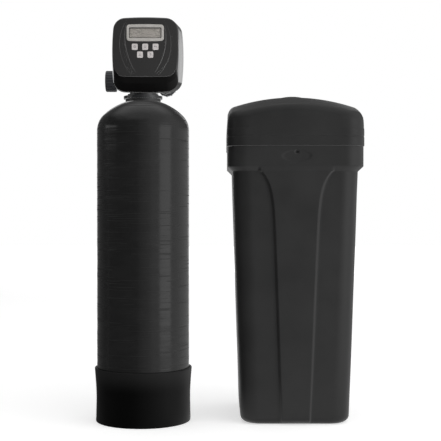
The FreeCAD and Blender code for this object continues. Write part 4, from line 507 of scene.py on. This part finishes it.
def wound_paint():
    """Black paint over the winding: level ripples, a faint weave, and duller level grooves.

    A groove is where a noise that hardly changes along the level passes 0.6.
    """
    material, tree, shader = new_finish("wound_shell", Specular_IOR_Level=0.27)
    patches = noise(tree, spread(tree, (1, 1, 2.5)), 0.05)
    streaks = noise(tree, spread(tree, (0.035, 0.035, 1)), 0.0045, detail=1)
    grooved = add(tree, "MapRange", Value=streaks, From_Min=0.6, From_Max=0.66).outputs[0]
    polished = between(tree, patches, 0.15, 0.21)
    ripples = noise(tree, spread(tree, (0.1, 0.1, 1)), 0.0035)
    weave = noise(tree, spread(tree, (0.35, 0.35, 1)), 0.012, detail=1)
    rippled = raise_bump(tree, ripples, 0.0001)
    fill(tree, shader, Base_Color=shade(tree, patches, (0.01,) * 3, (0.0135,) * 3),
         Roughness=compute(tree, "MULTIPLY_ADD", grooved, 0.3, polished),
         Normal=raise_bump(tree, weave, 0.0002, Normal=rippled))
    return material


dress(vessel, wound_paint(), instead_of=["vessel_shell"], crease=50)


# The vessel's blown plastic liner, its bed of gravel and resin beads, and the riser tube with
# slotted baskets at both ends. The liner is black polyethylene, the riser is plain white.
def coat(material, *names):
    """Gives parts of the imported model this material."""
    for name in names:
        parts[name].data.materials.clear()
        parts[name].data.materials.append(material)


def grains(name, dark, light, size, roughness):
    """Loose grains: each Voronoi cell has its own tone, and its relief falls to its edge."""
    material, tree, shader = new_finish(name, Roughness=roughness)
    cells = add(tree, "TexVoronoi", Scale=1 / size, Vector=spread(tree)).outputs
    tone = add(tree, "SeparateColor", Color=cells["Color"])
    rounded = compute(tree, "SUBTRACT", 1, cells["Distance"])
    fill(tree, shader, Base_Color=shade(tree, tone.outputs[0], dark, light),
         Normal=raise_bump(tree, rounded, size / 2))
    return material


liner_plastic = moulded("liner_plastic", (0.012,) * 3, (0.02,) * 3, 0.08,
                        (0.4, 0.55), 0.002, 0.00005)
white_plastic = moulded("white_plastic", (0.62, 0.62, 0.6), (0.7, 0.7, 0.68), 0.03,
                        (0.35, 0.45), 0.001, 0.00003)
coat(liner_plastic, "vessel_liner")
coat(white_plastic, "riser_tube", "upper_distributor", "lower_distributor")
coat(grains("bed_gravel", (0.19, 0.15, 0.11), (0.5, 0.44, 0.36), 0.005, 0.75), "gravel_bed")
coat(grains("bed_media", (0.2, 0.1, 0.03), (0.36, 0.2, 0.07), 0.0012, 0.4), "filter_media")


# The valve body on the vessel's neck, the port block behind it, their elbows and the bypass:
# glass-filled black plastic, injection moulded, with a satin and slightly mottled skin.
valve_plastic = moulded("valve_plastic", (0.012, 0.0125, 0.014), (0.02, 0.021, 0.024), 0.02,
                        (0.2, 0.3), 0.0007, 0.00004)
coat(valve_plastic, "valve_body", "injector_cap", "injector_nozzle", "refill_elbow",
     "drain_elbow", "bypass_body", "pipe_connectors", "meter_body", "port_block")


# Rubber rings at the neck, the ports and the stack: soft black rubber with a powdery bloom,
# moulded round and laid in their grooves.
seal_rubber = moulded("seal_rubber", (0.008,) * 3, (0.018,) * 3, 0.004, (0.55, 0.75),
                      0.0006, 0.00003)
coat(seal_rubber, "neck_seals", "port_seals", "stack_seals")


# The sleeve of spacers that the piston slides in: grey acetal rings, moulded, and stacked in the
# valve's barrel with a seal between each two.
coat(moulded("spacer_plastic", (0.2, 0.2, 0.21), (0.26, 0.26, 0.27), 0.012, (0.35, 0.5),
             0.0008, 0.00003), "spacer_stack")


# The gear train: a pinion on the motor, three reduction gears and the drive gear, in white
# acetal, waxy and slightly see-through at thin edges. They turn on polished steel pins.
gear_plastic = moulded("gear_plastic", (0.6, 0.59, 0.55), (0.68, 0.67, 0.64), 0.01,
                       (0.28, 0.4), 0.0006, 0.00002, Subsurface_Weight=0.08)


def drawn_steel(name, dark, light, gloss, size):
    """Bright steel with drawing lines along z: long thin noise in the tone and the relief."""
    material, tree, shader = new_finish(name, Metallic=1.0)
    lines = noise(tree, spread(tree, (1, 1, 0.05)), size)
    fill(tree, shader, Base_Color=shade(tree, lines, dark, light),
         Roughness=between(tree, lines, *gloss), Normal=raise_bump(tree, lines, 0.00002))
    return material


coat(gear_plastic, "motor_pinion", "first_gear", "second_gear", "third_gear", "drive_gear")
coat(drawn_steel("steel", (0.5, 0.5, 0.51), (0.68, 0.68, 0.69), (0.22, 0.35), 0.0006),
     "gear_pins", "plate_screws")
coat(drawn_steel("motor_steel", (0.42, 0.42, 0.44), (0.58, 0.58, 0.6), (0.3, 0.45), 0.001),
     "drive_motor")


# The back plate, the bracket and cover over the gears, the drive cap and the piston: the valve's
# black plastic again. The bracket and the cover are screwed to the plate.
coat(valve_plastic, "back_plate", "drive_bracket", "drive_cap", "gear_cover", "piston")


# The circuit board behind the face: green laminate with copper tracks under the lacquer, and
# five key switches that the buttons press.
def laminate():
    """Green board: brick-like tracks a shade lighter than the ground, with a slight relief."""
    material, tree, shader = new_finish("board_laminate", Roughness=0.3)
    tracks = add(tree, "TexBrick", Scale=90, Color1=(0.012, 0.09, 0.03, 1),
                 Color2=(0.008, 0.06, 0.022, 1), Mortar=(0.03, 0.16, 0.06, 1), Mortar_Size=0.03,
                 Vector=spread(tree, turn=(math.radians(90), 0, 0))).outputs
    fill(tree, shader, Base_Color=tracks["Color"],
         Normal=raise_bump(tree, tracks["Fac"], 0.00005))
    return material


switch_plastic = moulded("switch_plastic", (0.012,) * 3, (0.02,) * 3, 0.004, (0.4, 0.5),
                         0.0005, 0.00002)
coat(laminate(), "circuit_board")
coat(switch_plastic, "key_switches")


# The control head's cover: gloss black ABS, moulded in one piece and clipped to the back plate.
# Its downward side is rougher, and its gloss is cut there as painted shade, so that it reads dark.
def cover_finish():
    """Gloss black on the front and sides, with fine pores. Where the surface faces down it goes
    matt and loses most of its gloss, as painted shade.

    The share of matt and painted shade goes by a smooth step from none to all as the normal's z
    falls to its limit.
    """
    material, tree, shader = new_finish("cover_plastic", IOR=1.7)
    patches = noise(tree, spread(tree), 0.05)
    facing = add(tree, "SeparateXYZ", Vector=add(tree, "NewGeometry").outputs["Normal"])
    matt = add(tree, "MapRange", interpolation_type="SMOOTHSTEP", Value=facing.outputs["Z"],
               From_Min=-0.12, From_Max=-0.3).outputs[0]
    polished = between(tree, patches, 0.08, 0.13)
    # Painted shade: the specular level falls from 0.5 to 0.06 where the surface faces down.
    gloss_cut_as_shade = add(tree, "MapRange", Value=matt, To_Min=0.5, To_Max=0.06)
    pores = noise(tree, spread(tree), 0.0015, detail=2)
    fill(tree, shader, Normal=raise_bump(tree, pores, 0.000012),
         Base_Color=shade(tree, patches, (0.0025, 0.0022, 0.0022), (0.0038, 0.0034, 0.0034)),
         Roughness=compute(tree, "MAXIMUM", polished, compute(tree, "MULTIPLY", matt, 0.5)),
         Specular_IOR_Level=gloss_cut_as_shade.outputs[0])
    return material


coat(cover_finish(), "head_cover")


# The face on the cover's front: a gloss black sheet. Two curved ribs on each side run from the top
# corners to its foot. They are moulded with it, and their colour is made lighter than the face's
# as a painted highlight, for the light that their sides catch.
face_plastic = moulded("face_plastic", (0.0034, 0.003, 0.0029), (0.005, 0.0043, 0.0042), 0.03,
                       (0.12, 0.18), 0.0015, 0.000012, IOR=1.7)
coat(face_plastic, "face_plate")
FACE_X = 14.0
FACE_Y = -114.2
# Painted highlight: the ribs' colour is several times lighter than the face's.
rib_highlight_plastic = moulded("rib_highlight_plastic", (0.012, 0.0112, 0.011), (0.02, 0.0185, 0.018), 0.01,
                      (0.16, 0.24), 0.0008, 0.00002, IOR=1.7)
RIB_STEPS = 70
RIB_SIDES = 20
RIB_SUNK = 0.2
# Each rib's foot and head beside the face's middle, its bend, half its width, and its height.
RIBS = {
    "outer": ((34.7, 949.5), (51.0, 1097.0), 120.0, 1.0, 1.9),
    "inner": ((25.0, 957.0), (52.5, 1085.5), 171.0, 1.7, 2.4),
}


def rib(name, side, foot, head, bend, half_width, proud):
    """A rib along an arc of this bend from foot to head, whose section is half an ellipse.

    The arc's middle lies off the chord by the root of the bend squared less half the chord
    squared. A point of the section is half_width times the cosine across the arc and proud
    times the sine out of the face. Towards both ends it tapers as the root of a half sine does.
    """
    foot, head = np.array(foot) * (side, 1), np.array(head) * (side, 1)
    chord = head - foot
    half = np.linalg.norm(chord) / 2
    across = np.array((-chord[1], chord[0])) / (2 * half) * side
    middle = (foot + head) / 2 + across * math.sqrt(bend ** 2 - half ** 2)
    start, end = (math.atan2(*(point - middle)[::-1]) for point in (foot, head))
    sweep = (end - start + math.pi) % (2 * math.pi) - math.pi
    angle = start + sweep * np.linspace(0, 1, RIB_STEPS)
    out = np.stack([np.cos(angle), np.sin(angle)], axis=-1)
    taper = np.sin(np.pi * np.linspace(0.04, 0.96, RIB_STEPS)) ** 0.5
    round_section = round_angles(RIB_SIDES)
    offset = half_width * taper[:, None] * np.cos(round_section)
    rise = proud * taper[:, None] * np.maximum(np.sin(round_section), -RIB_SUNK)
    flat = middle + out[:, None, :] * (bend + offset)[..., None]
    grid = np.stack([FACE_X + flat[..., 0], FACE_Y - rise, flat[..., 1]], axis=-1) * MM
    dress(skin(name, grid, grid[[0, -1]].mean(axis=1)), rib_highlight_plastic)


for rib_name, rib_form in RIBS.items():
    for side_name, side in (("left", -1), ("right", 1)):
        rib(f"{side_name}_{rib_name}_rib", side, *rib_form)


# The display: a silver-grey frame round a clear window, over a panel of liquid crystal.
# The frame is moulded with a broad outer bevel, a slightly swollen top and bottom edge, and an
# inner slope down to the window.
def frame_loop(half_width, half_height, corner, swell):
    """A closed outline of x and z: straight sides, round corners by sine and cosine.

    The top and bottom edges rise by swell times 1 less the square of x over half_width.
    """
    angle = np.linspace(0, np.pi / 2, 14)
    side = np.linspace(0, half_height - corner, 10)[:-1]
    top = np.linspace(half_width - corner, 0, 24)[1:]
    x = np.concatenate([np.full(len(side), half_width),
                        half_width - corner + corner * np.cos(angle), top])
    z = np.concatenate([side, half_height - corner + corner * np.sin(angle),
                        np.full(len(top), half_height)])
    z = z + swell * (1 - (x / half_width) ** 2) * z / half_height
    quarter = np.stack([x, z], axis=-1)
    left = quarter[-2::-1] * (-1, 1)
    low_left = quarter[1:] * (-1, -1)
    low_right = quarter[-2:0:-1] * (1, -1)
    return np.vstack([quarter, left, low_left, low_right])


FRAME_MIDDLE = 1064.0
FRAME_HALF = np.array((50.0, 21.5))
FRAME_CORNER = 7.0
FRAME_SWELL = 1.3
WINDOW_HALF = np.array((43.2, 13.7))
WINDOW_CORNER = 2.5
# How far in from the frame's outer edge each loop lies, and its y.
FRAME_STEPS = (
    (0.0, FACE_Y), (0.0, -115.6), (0.5, -116.2), (1.3, -116.4), (5.6, -116.4), (6.4, -116.2),
    (7.3, -115.0), (7.3, FACE_Y),
)


def on_face(loop, y, drop=0.0):
    """A loop of x and z round the frame's middle, set at this y and lowered by drop."""
    return np.column_stack([loop[:, 0] + FACE_X, np.full(len(loop), y),
                            loop[:, 1] + FRAME_MIDDLE - drop])


def display_ring():
    """The frame's loops from its outer foot over the front to the window's edge.

    Half sizes, corners and swell go evenly from the frame's to the window's.
    """
    loops = []
    for inward, y in FRAME_STEPS:
        share = inward / FRAME_STEPS[-1][0]
        half = FRAME_HALF + (WINDOW_HALF - FRAME_HALF) * share
        corner = FRAME_CORNER + (WINDOW_CORNER - FRAME_CORNER) * share
        loops.append(on_face(frame_loop(*half, corner, FRAME_SWELL * (1 - share)), y))
    return skin("display_bezel", np.array(loops) * MM, ring=True)


bezel_plastic = moulded("bezel_plastic", (0.5, 0.48, 0.45), (0.58, 0.56, 0.53), 0.02,
                        (0.3, 0.4), 0.0005, 0.00002)
dress(display_ring(), bezel_plastic, instead_of=["display_frame"], crease=30)


# Where the frame slopes down to the window, a dark lip in the seals' black rubber stands for the
# frame's shadow and its shaded inner slope: painted shadow, broadest along the top. It lies round
# the window's edge.
SHADOW_LIP_HALF = np.array((42.0, 12.4))
SHADOW_LIP_DROP = 0.7
SHADOW_LIP_FRONT = -115.9
SHADOW_LIP_OUTSIDE = 1.3
SHADOW_LIP_INSIDE = 0.45


def window_shadow_lip():
    """The lip's four loops: up its outer side, over its front and back down to the window."""
    outer = frame_loop(*WINDOW_HALF, WINDOW_CORNER, 0)
    inner = frame_loop(*SHADOW_LIP_HALF, WINDOW_CORNER, 0)
    loops = [on_face(outer, SHADOW_LIP_FRONT + SHADOW_LIP_OUTSIDE), on_face(outer, SHADOW_LIP_FRONT),
             on_face(inner, SHADOW_LIP_FRONT, SHADOW_LIP_DROP),
             on_face(inner, SHADOW_LIP_FRONT + SHADOW_LIP_INSIDE, SHADOW_LIP_DROP)]
    return skin("window_shadow_lip", np.array(loops) * MM, ring=True)


# Painted shadow: the dark lip stands where the frame shades the window.
dress(window_shadow_lip(), seal_rubber, crease=30)


# The panel of liquid crystal, a thin glass box on the board, and in front of it the window of
# clear acrylic, set into the face.
def crystal_panel():
    """An unlit panel of liquid crystal: warm grey in soft clouds, under a fine grid of dots."""
    material, tree, shader = new_finish("display_glass", Roughness=0.25)
    cloud = noise(tree, spread(tree), 0.04)
    dots = add(tree, "TexVoronoi", Scale=1200, Randomness=0.0, Vector=spread(tree))
    fill(tree, shader, Base_Color=shade(tree, cloud, (0.5, 0.455, 0.41), (0.6, 0.55, 0.5)),
         Normal=raise_bump(tree, dots.outputs["Distance"], 0.00001))
    return material


coat(crystal_panel(), "display_module")


def clear_window():
    """Clear acrylic: all light passes, with faint smears in the gloss."""
    material, tree, shader = new_finish("window_plastic", Transmission_Weight=1.0, IOR=1.49)
    smear = noise(tree, spread(tree), 0.02)
    fill(tree, shader, Base_Color=shade(tree, smear, (0.94, 0.95, 0.94), (0.99, 0.99, 0.99)),
         Roughness=between(tree, smear, 0.02, 0.06))
    return material


coat(clear_window(), "display_window")


# Five buttons in two rows: pale grey plastic, moulded, each on the spring of its key switch and
# sliding in its own hole in the face.
button_plastic = moulded("button_plastic", (0.7, 0.66, 0.65), (0.78, 0.74, 0.73), 0.01,
                         (0.35, 0.45), 0.0005, 0.00002)
coat(button_plastic, "upper_left_button", "upper_middle_button", "upper_right_button",
     "lower_left_button", "lower_right_button")


# Each button carries a plain mark, printed on its front in darker grey ink: a clock's ring with
# its hand, level bars, a bent arrow, and arrows down and up.
BUTTON_FRONT = -116.2
PRINT_PROUD = 0.12
PRINT_SUNK = 0.2
PRINT_HALF = 0.5
RING_RADIUS = 2.9
UPPER_ROW = 1026.3
LOWER_ROW = 1005.2
print_ink = moulded("button_print", (0.3, 0.29, 0.29), (0.36, 0.35, 0.35), 0.004, (0.5, 0.6),
                    0.0004, 0.00001)
ring_turn = np.linspace(0, 2 * np.pi, 13)
ring_spots = RING_RADIUS * np.stack([np.cos(ring_turn), np.sin(ring_turn)], axis=-1)
ARROW_DOWN = [((0, 3.2), (0, -3.2)), ((0, -3.2), (-2.4, -0.8)), ((0, -3.2), (2.4, -0.8))]
MARKS = {
    "upper_left": (-14.0, UPPER_ROW, [*zip(ring_spots, ring_spots[1:]),
                                      ((0, 0), (0, RING_RADIUS))]),
    "upper_middle": (14.0, UPPER_ROW, [((-3, z), (3, z)) for z in (-2.4, 0, 2.4)]),
    "upper_right": (42.0, UPPER_ROW, [((3, -2.2), (3, 1)), ((3, 1), (-3, 1)),
                                      ((-3, 1), (-1, 3)), ((-3, 1), (-1, -1))]),
    "lower_left": (0.0, LOWER_ROW, ARROW_DOWN),
    "lower_right": (28.0, LOWER_ROW, [((x0, -z0), (x1, -z1))
                                      for (x0, z0), (x1, z1) in ARROW_DOWN]),
}


def printed(button, middle_x, middle_z, lines):
    """A mark as flat bars: each line of x and z, widened by half its width all round."""
    lines = np.array(lines, float)
    along = lines[:, 1] - lines[:, 0]
    along *= PRINT_HALF / np.linalg.norm(along, axis=1, keepdims=True)
    across = np.stack([-along[:, 1], along[:, 0]], axis=-1)
    start, end = lines[:, 0] - along, lines[:, 1] + along
    flat = np.stack([start - across, end - across, end + across, start + across], axis=1)
    flat += (middle_x, middle_z)
    layers = [np.stack([flat[..., 0], np.full(flat.shape[:2], y), flat[..., 1]], axis=-1)
              for y in (BUTTON_FRONT - PRINT_PROUD, BUTTON_FRONT + PRINT_SUNK)]
    points = np.concatenate(layers, axis=1).reshape(-1, 3) * MM
    box = np.array([(0, 1, 2, 3), (7, 6, 5, 4), (0, 4, 5, 1), (1, 5, 6, 2), (2, 6, 7, 3),
                    (3, 7, 4, 0)])
    faces = (box[None] + 8 * np.arange(len(lines))[:, None, None]).reshape(-1, 4)
    dress(make_mesh(f"{button}_mark", points, [faces]), print_ink,
          body=f"{button}_button", crease=30)


for button_name, mark in MARKS.items():
    printed(button_name, *mark)


# Union nuts, the two bypass handles and the elbows' clips: dark grey acetal, moulded, satin. The
# nuts turn on collars of the ports, and the clips push in across the elbows.
nut_plastic = moulded("nut_plastic", (0.028, 0.03, 0.036), (0.04, 0.042, 0.05), 0.012,
                      (0.35, 0.5), 0.0006, 0.00004)
handle_plastic = moulded("handle_plastic", (0.02, 0.02, 0.022), (0.03, 0.03, 0.032), 0.012,
                         (0.35, 0.5), 0.0006, 0.00004)
coat(nut_plastic, "meter_nut", "coupling_nuts", "overflow_nut")
coat(handle_plastic, "inlet_handle", "outlet_handle", "elbow_clips")


# The meter's turbine and what stands in the brine tank: well, cap, grid and air check, in plain
# white plastic. The overflow elbow in the tank's back wall is black.
coat(white_plastic, "meter_turbine", "salt_grid", "brine_well", "well_cap", "air_check")
coat(valve_plastic, "overflow_elbow")


# The safety float: a block of closed-cell white foam that rises with the brine on the air
# check's rod.
coat(grains("float_foam", (0.66, 0.66, 0.63), (0.76, 0.76, 0.74), 0.003, 0.8), "safety_float")


# The brine tank: black polyethylene, blown in one piece, with a proud tapering panel front and
# back, and a rim under the lid with an oval recess. The wall goes up inside the lid as a lip.
TANK_X = 422.0
TANK_Y = 97.0
SIDE_COLUMNS = (46, 8, 8, 13, 26)
FOOT_HALF = np.array((150.5, 173.0))
FOOT_ROLL = 21.0
TOP_HALF = np.array((172.0, 198.0))
WALL_TOP = 696.0
PANEL_PROUD = 8.0
PANEL_SLOPE = 9.0
PANEL_HALF = 42.0
PANEL_FROM = 77.0
PANEL_WIDENING = 0.0372
FLARE = 35.0
FLARE_HEIGHT = 36.0


def panel_edge(height):
    """Half the panel's width: it widens evenly, and flares as an exponential under the rim."""
    return (PANEL_HALF + PANEL_WIDENING * (height - PANEL_FROM)
            + FLARE * np.exp((height - WALL_TOP) / FLARE_HEIGHT))


def wall_half(height):
    """Half the wall's width and depth, which grow evenly from the foot to the rim."""
    return FOOT_HALF + (TOP_HALF - FOOT_HALF) * height / WALL_TOP


def smooth_step(share):
    """From 0 to 1 without a corner: 3t^2 - 2t^3 of the share t."""
    return (3 - 2 * share) * share ** 2


def outline(half_width, half_depth, corner, edge, proud=0.0):
    """One level of a box with round corners, seen from above, as columns of x and y in mm.

    A quarter goes from the middle of the front over the panel's edge and the corner to the
    middle of the side: even steps on the panel, on its slope, on the front, round the corner
    by sine and cosine, and along the side. The other quarters are its mirror images. Across
    the slope the front rises by the smooth step.
    """
    flat, slope, front, turn, side = SIDE_COLUMNS
    inner = edge - PANEL_SLOPE / 2
    outer = edge + PANEL_SLOPE / 2
    start = half_width - corner
    angle = np.linspace(0, np.pi / 2, turn + 1)[1:]
    x = np.concatenate([
        np.linspace(0, inner, flat), np.linspace(inner, outer, slope + 1)[1:],
        np.linspace(outer, start, front + 1)[1:], start + corner * np.sin(angle),
        np.full(side, half_width)])
    y = np.concatenate([
        np.full(flat + slope + front, half_depth),
        half_depth - corner + corner * np.cos(angle),
        np.linspace(half_depth - corner, 0, side + 1)[1:]])
    share = np.clip((outer - x) / PANEL_SLOPE, 0, 1)
    on_front = np.arange(len(x)) < flat + slope + front
    y = y + np.where(on_front, proud * smooth_step(share), 0)
    right_front = np.stack([x, -y], axis=-1)
    right_back = np.stack([x, y], axis=-1)[-2::-1]
    left_back = np.stack([-x, y], axis=-1)[1:]
    left_front = np.stack([-x, -y], axis=-1)[-2:0:-1]
    return np.vstack([right_front, right_back, left_back, left_front])


def level(height, *sizes, **more):
    """One outline at a height, in mm in the model's frame."""
    flat = outline(*sizes, **more)
    return np.column_stack([flat + (TANK_X, TANK_Y), np.full(len(flat), height)])


RIM_HALF = np.array((186.0, 212.0))
RIM_TOP = 761.5
LIP_TOP = 781.5
TANK_CORNER = 50.0
RIM_CORNER = 54.0
TANK_WALL = 5.0
RIM_ROUND = 1.5
LIP_IN = 10.3
LIP_THICK = 4.0
FOOT_PANEL_SHARE = 0.6
ROLL_CORNER_SHARE = 0.6


def wall_level(height, drawn_in, corner_in, proud=0.0):
    """A level of the wall, with its sides and its corners drawn in from the outer face."""
    return level(height, *(wall_half(height) - drawn_in), TANK_CORNER - corner_in,
                 panel_edge(height), proud=proud)


def tank_levels():
    """The tank's levels: bottom, rolled foot, wall, rim, lip, then down the inside."""
    levels = []
    flat_half = FOOT_HALF - FOOT_ROLL
    flat_corner = TANK_CORNER - FOOT_ROLL
    flat_panel = panel_edge(0) * FOOT_PANEL_SHARE
    for share in (0.25, 0.5, 0.75, 0.95):
        levels.append(level(0, *(flat_half * share), flat_corner * share, flat_panel * share))
    for angle in np.radians(np.linspace(0, 82, 10)):
        drawn_in = FOOT_ROLL * (1 - np.sin(angle))
        height = FOOT_ROLL * (1 - np.cos(angle))
        levels.append(wall_level(height, drawn_in, drawn_in * ROLL_CORNER_SHARE,
                                 PANEL_PROUD * np.sin(angle) ** 2))
    for height in np.concatenate([np.linspace(30, 560, 44), np.linspace(566, 692, 32)]):
        levels.append(wall_level(height, 0, 0, PANEL_PROUD))
    head = panel_edge(WALL_TOP)
    for share in np.linspace(0, 1, 7):
        half = TOP_HALF + (RIM_HALF - TOP_HALF) * share
        levels.append(level(WALL_TOP - 3 + 14 * share, *half,
                            TANK_CORNER + (RIM_CORNER - TANK_CORNER) * share, head,
                            proud=PANEL_PROUD * (1 - share)))
    for height in np.linspace(WALL_TOP + 13, RIM_TOP - RIM_ROUND - 0.1, 32):
        levels.append(level(height, *RIM_HALF, RIM_CORNER, head))
    for angle in np.radians((30, 60, 90)):
        inward = RIM_ROUND * (1 - np.cos(angle))
        levels.append(level(RIM_TOP - RIM_ROUND * (1 - np.sin(angle)), *(RIM_HALF - inward),
                            RIM_CORNER - inward, head))
    inner = LIP_IN + LIP_THICK
    for inward, height in ((LIP_IN * 0.6, RIM_TOP), (LIP_IN, RIM_TOP + 0.5), (LIP_IN, LIP_TOP - 1),
                           (LIP_IN + 1, LIP_TOP), (inner - 1, LIP_TOP), (inner, LIP_TOP - 1),
                           (inner, RIM_TOP), (inner, WALL_TOP + 12)):
        levels.append(level(height, *(RIM_HALF - inward), RIM_CORNER - inward, head))
    for height in np.linspace(WALL_TOP - 2, FOOT_ROLL, 14):
        levels.append(wall_level(height, TANK_WALL, TANK_WALL, PANEL_PROUD))
    roll = FOOT_ROLL - TANK_WALL
    for angle in np.radians((60, 30, 0)):
        drawn_in = TANK_WALL + roll * (1 - np.sin(angle))
        height = TANK_WALL + roll * (1 - np.cos(angle))
        levels.append(wall_level(height, drawn_in, drawn_in * ROLL_CORNER_SHARE))
    for share in (0.7, 0.4, 0.15):
        levels.append(level(TANK_WALL, *(flat_half * share), flat_corner * share,
                            flat_panel * share))
    return np.array(levels)


RECESS_HALF = np.array((43.5, 16.5))
RECESS_Z = 734.0
RECESS_DEEP = 2.0
RECESS_EDGE = 4.0
PIT_Z = 744.6
PIT_RADIUS = 5.0
PIT_DEEP = 7.0
PIT_EDGE = 1.6
WAVE_LENGTHS = (70, 110, 170, 260)


def press_recess(levels):
    """Presses the oval into the rim's front, by the smooth step from its edge inwards.

    Near its top a round pit is pressed deeper, by an even step across its edge. The brine tube
    goes in there.
    """
    aside = (levels[..., 0] - TANK_X) / RECESS_HALF[0]
    beside = (levels[..., 2] - RECESS_Z) / RECESS_HALF[1]
    inside = np.clip((1 - np.hypot(aside, beside)) * RECESS_HALF[1] / RECESS_EDGE, 0, 1)
    on_front = levels[..., 1] < TANK_Y - RIM_HALF[1] + 1
    away = np.hypot(levels[..., 0] - TANK_X, levels[..., 2] - PIT_Z)
    in_pit = np.clip((PIT_RADIUS - away) / PIT_EDGE + 0.5, 0, 1)
    levels[..., 1] += np.where(on_front, RECESS_DEEP * smooth_step(inside) + PIT_DEEP * in_pit, 0)
    return levels


def blown_waves(levels, deep, seed):
    """A blown wall's slow waves, outwards in mm: a sum of long cosines in random directions."""
    chance = np.random.default_rng(seed)
    push = np.zeros(levels.shape[:2])
    for length in WAVE_LENGTHS:
        turn = chance.uniform(-1, 1, 3)
        turn /= np.linalg.norm(turn)
        wave = np.cos(levels @ turn * 2 * np.pi / length + chance.uniform(0, 6.28))
        push += wave * length / WAVE_LENGTHS[-1]
    away = levels[..., :2] - (TANK_X, TANK_Y)
    away /= np.maximum(np.linalg.norm(away, axis=-1, keepdims=True), 1)
    levels[..., :2] += away * (push * deep)[..., None]
    return levels


tank_grid = blown_waves(press_recess(tank_levels()), 0.22, 3)
tank_poles = np.array([(TANK_X, TANK_Y, 0), (TANK_X, TANK_Y, TANK_WALL)]) * MM
tank = skin("blown_tank", tank_grid * MM, tank_poles)
tank_plastic = moulded("tank_plastic", (0.024,) * 3, (0.03,) * 3, 0.09, (0.38, 0.5),
                       0.0011, 0.00006, Specular_IOR_Level=0.17)
dress(tank, tank_plastic, instead_of=["brine_tank"], crease=55)


# The lid: the same black polyethylene, a hollow cap with a roof arched both ways and a low boss
# on top. A groove runs round it, and it drops over the tank's lip and rests on the rim.
LID_HALF = np.array((188.0, 214.0))
LID_CORNER = 54.0
LID_CREST = 909.5
LID_ARCH_X = 524.0
LID_ARCH_Y = 590.0
LID_EDGE = 20.0
LID_GAP = 0.4
LID_DRAFT = 3.0
DRAFT_FROM = 795.0
DRAFT_RISE = 60.0
LID_PANEL = 90.0
BOSS_HIGH = 4.0
BOSS_TOP = 16.0
BOSS_SLOPE = 34.0
GROOVE_Z = 788.0
GROOVE_DEEP = 1.5
GROOVE_HALF = 1.3
CORNER_STEPS = (809, 835)
CORNER_STEP = 0.9
CORNER_REACH = 1.2
CORNER_RISE = 3.0


def roof_height(x, y):
    """The roof: the crest less x squared and y squared over twice their arches, plus the boss.

    The boss falls by the smooth step from its flat top to its foot.
    """
    down = np.clip((np.hypot(x, y) - BOSS_TOP) / BOSS_SLOPE, 0, 1)
    boss = BOSS_HIGH * (1 - smooth_step(down))
    return LID_CREST - x ** 2 / (2 * LID_ARCH_X) - y ** 2 / (2 * LID_ARCH_Y) + boss


def lid_rows(thick=0.0):
    """The lid's skin, thick mm inside its outer face: wall, round edge, then roof to the middle.

    The wall is drawn in by the groove, by two low steps at the corners, by its draft and at its
    foot. On the edge, whose radius is e, a point that is drawn in by e(1 - cos a) lies
    e(1 - sin a) under the roof.
    """
    half = LID_HALF - thick
    corner = LID_CORNER - thick
    edge = LID_EDGE - thick
    rim = outline(*half, corner, LID_PANEL)
    drawn = outline(*(half - edge), corner - edge, LID_PANEL)
    inward = (drawn - rim) / edge
    under_edge = roof_height(*drawn.T) - thick - edge
    rows = []
    low = RIM_TOP + LID_GAP
    past_flat = np.abs(rim) - (half - corner * CORNER_REACH)
    at_corner = np.clip(past_flat.min(axis=1) / corner * CORNER_RISE, 0, 1)
    for share in np.linspace(0, 1, 52 if not thick else 8):
        height = low + (under_edge - low) * share
        groove = GROOVE_DEEP * np.exp(-((height - GROOVE_Z) / GROOVE_HALF) ** 4) * (thick == 0)
        past_steps = sum((height > step).astype(float) for step in CORNER_STEPS)
        steps = at_corner * CORNER_STEP * past_steps * (thick == 0)
        draft = LID_DRAFT * np.clip((height - DRAFT_FROM) / DRAFT_RISE, 0, 1) ** 2
        foot = np.exp(-(height - low) ** 2)
        rows.append(np.column_stack([rim + inward * (groove + steps + draft + foot)[:, None],
                                     height]))
    for angle in np.radians(np.linspace(0, 90, 14 if not thick else 6)[1:]):
        place = rim + inward * (edge * (1 - np.cos(angle)) + LID_DRAFT * np.cos(angle))
        height = roof_height(*place.T) - thick - edge * (1 - np.sin(angle))
        rows.append(np.column_stack([place, height]))
    for share in np.linspace(1, 0, 30 if not thick else 8)[1:-1]:
        place = drawn * share
        rows.append(np.column_stack([place, roof_height(*place.T) - thick]))
    return np.array(rows)


LID_WALL = 5.0
lid_grid = np.concatenate([lid_rows(LID_WALL)[::-1], lid_rows()]) + (TANK_X, TANK_Y, 0)
crest = roof_height(0.0, 0.0)
lid_poles = np.array([(TANK_X, TANK_Y, crest - LID_WALL), (TANK_X, TANK_Y, crest)]) * MM
lid = skin("domed_lid", lid_grid * MM, lid_poles)
lid_plastic = moulded("lid_plastic", (0.021,) * 3, (0.027,) * 3, 0.09, (0.38, 0.5),
                      0.0011, 0.00006, Specular_IOR_Level=0.18)
dress(lid, lid_plastic, body="brine_lid", instead_of=["brine_lid"], crease=55)


# Gloss shows the studio and the pieces made here, apart from the tank and its lid. They and the
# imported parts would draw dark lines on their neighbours.
for part in (tank, lid, *parts.values()):
    part.visible_glossy = False
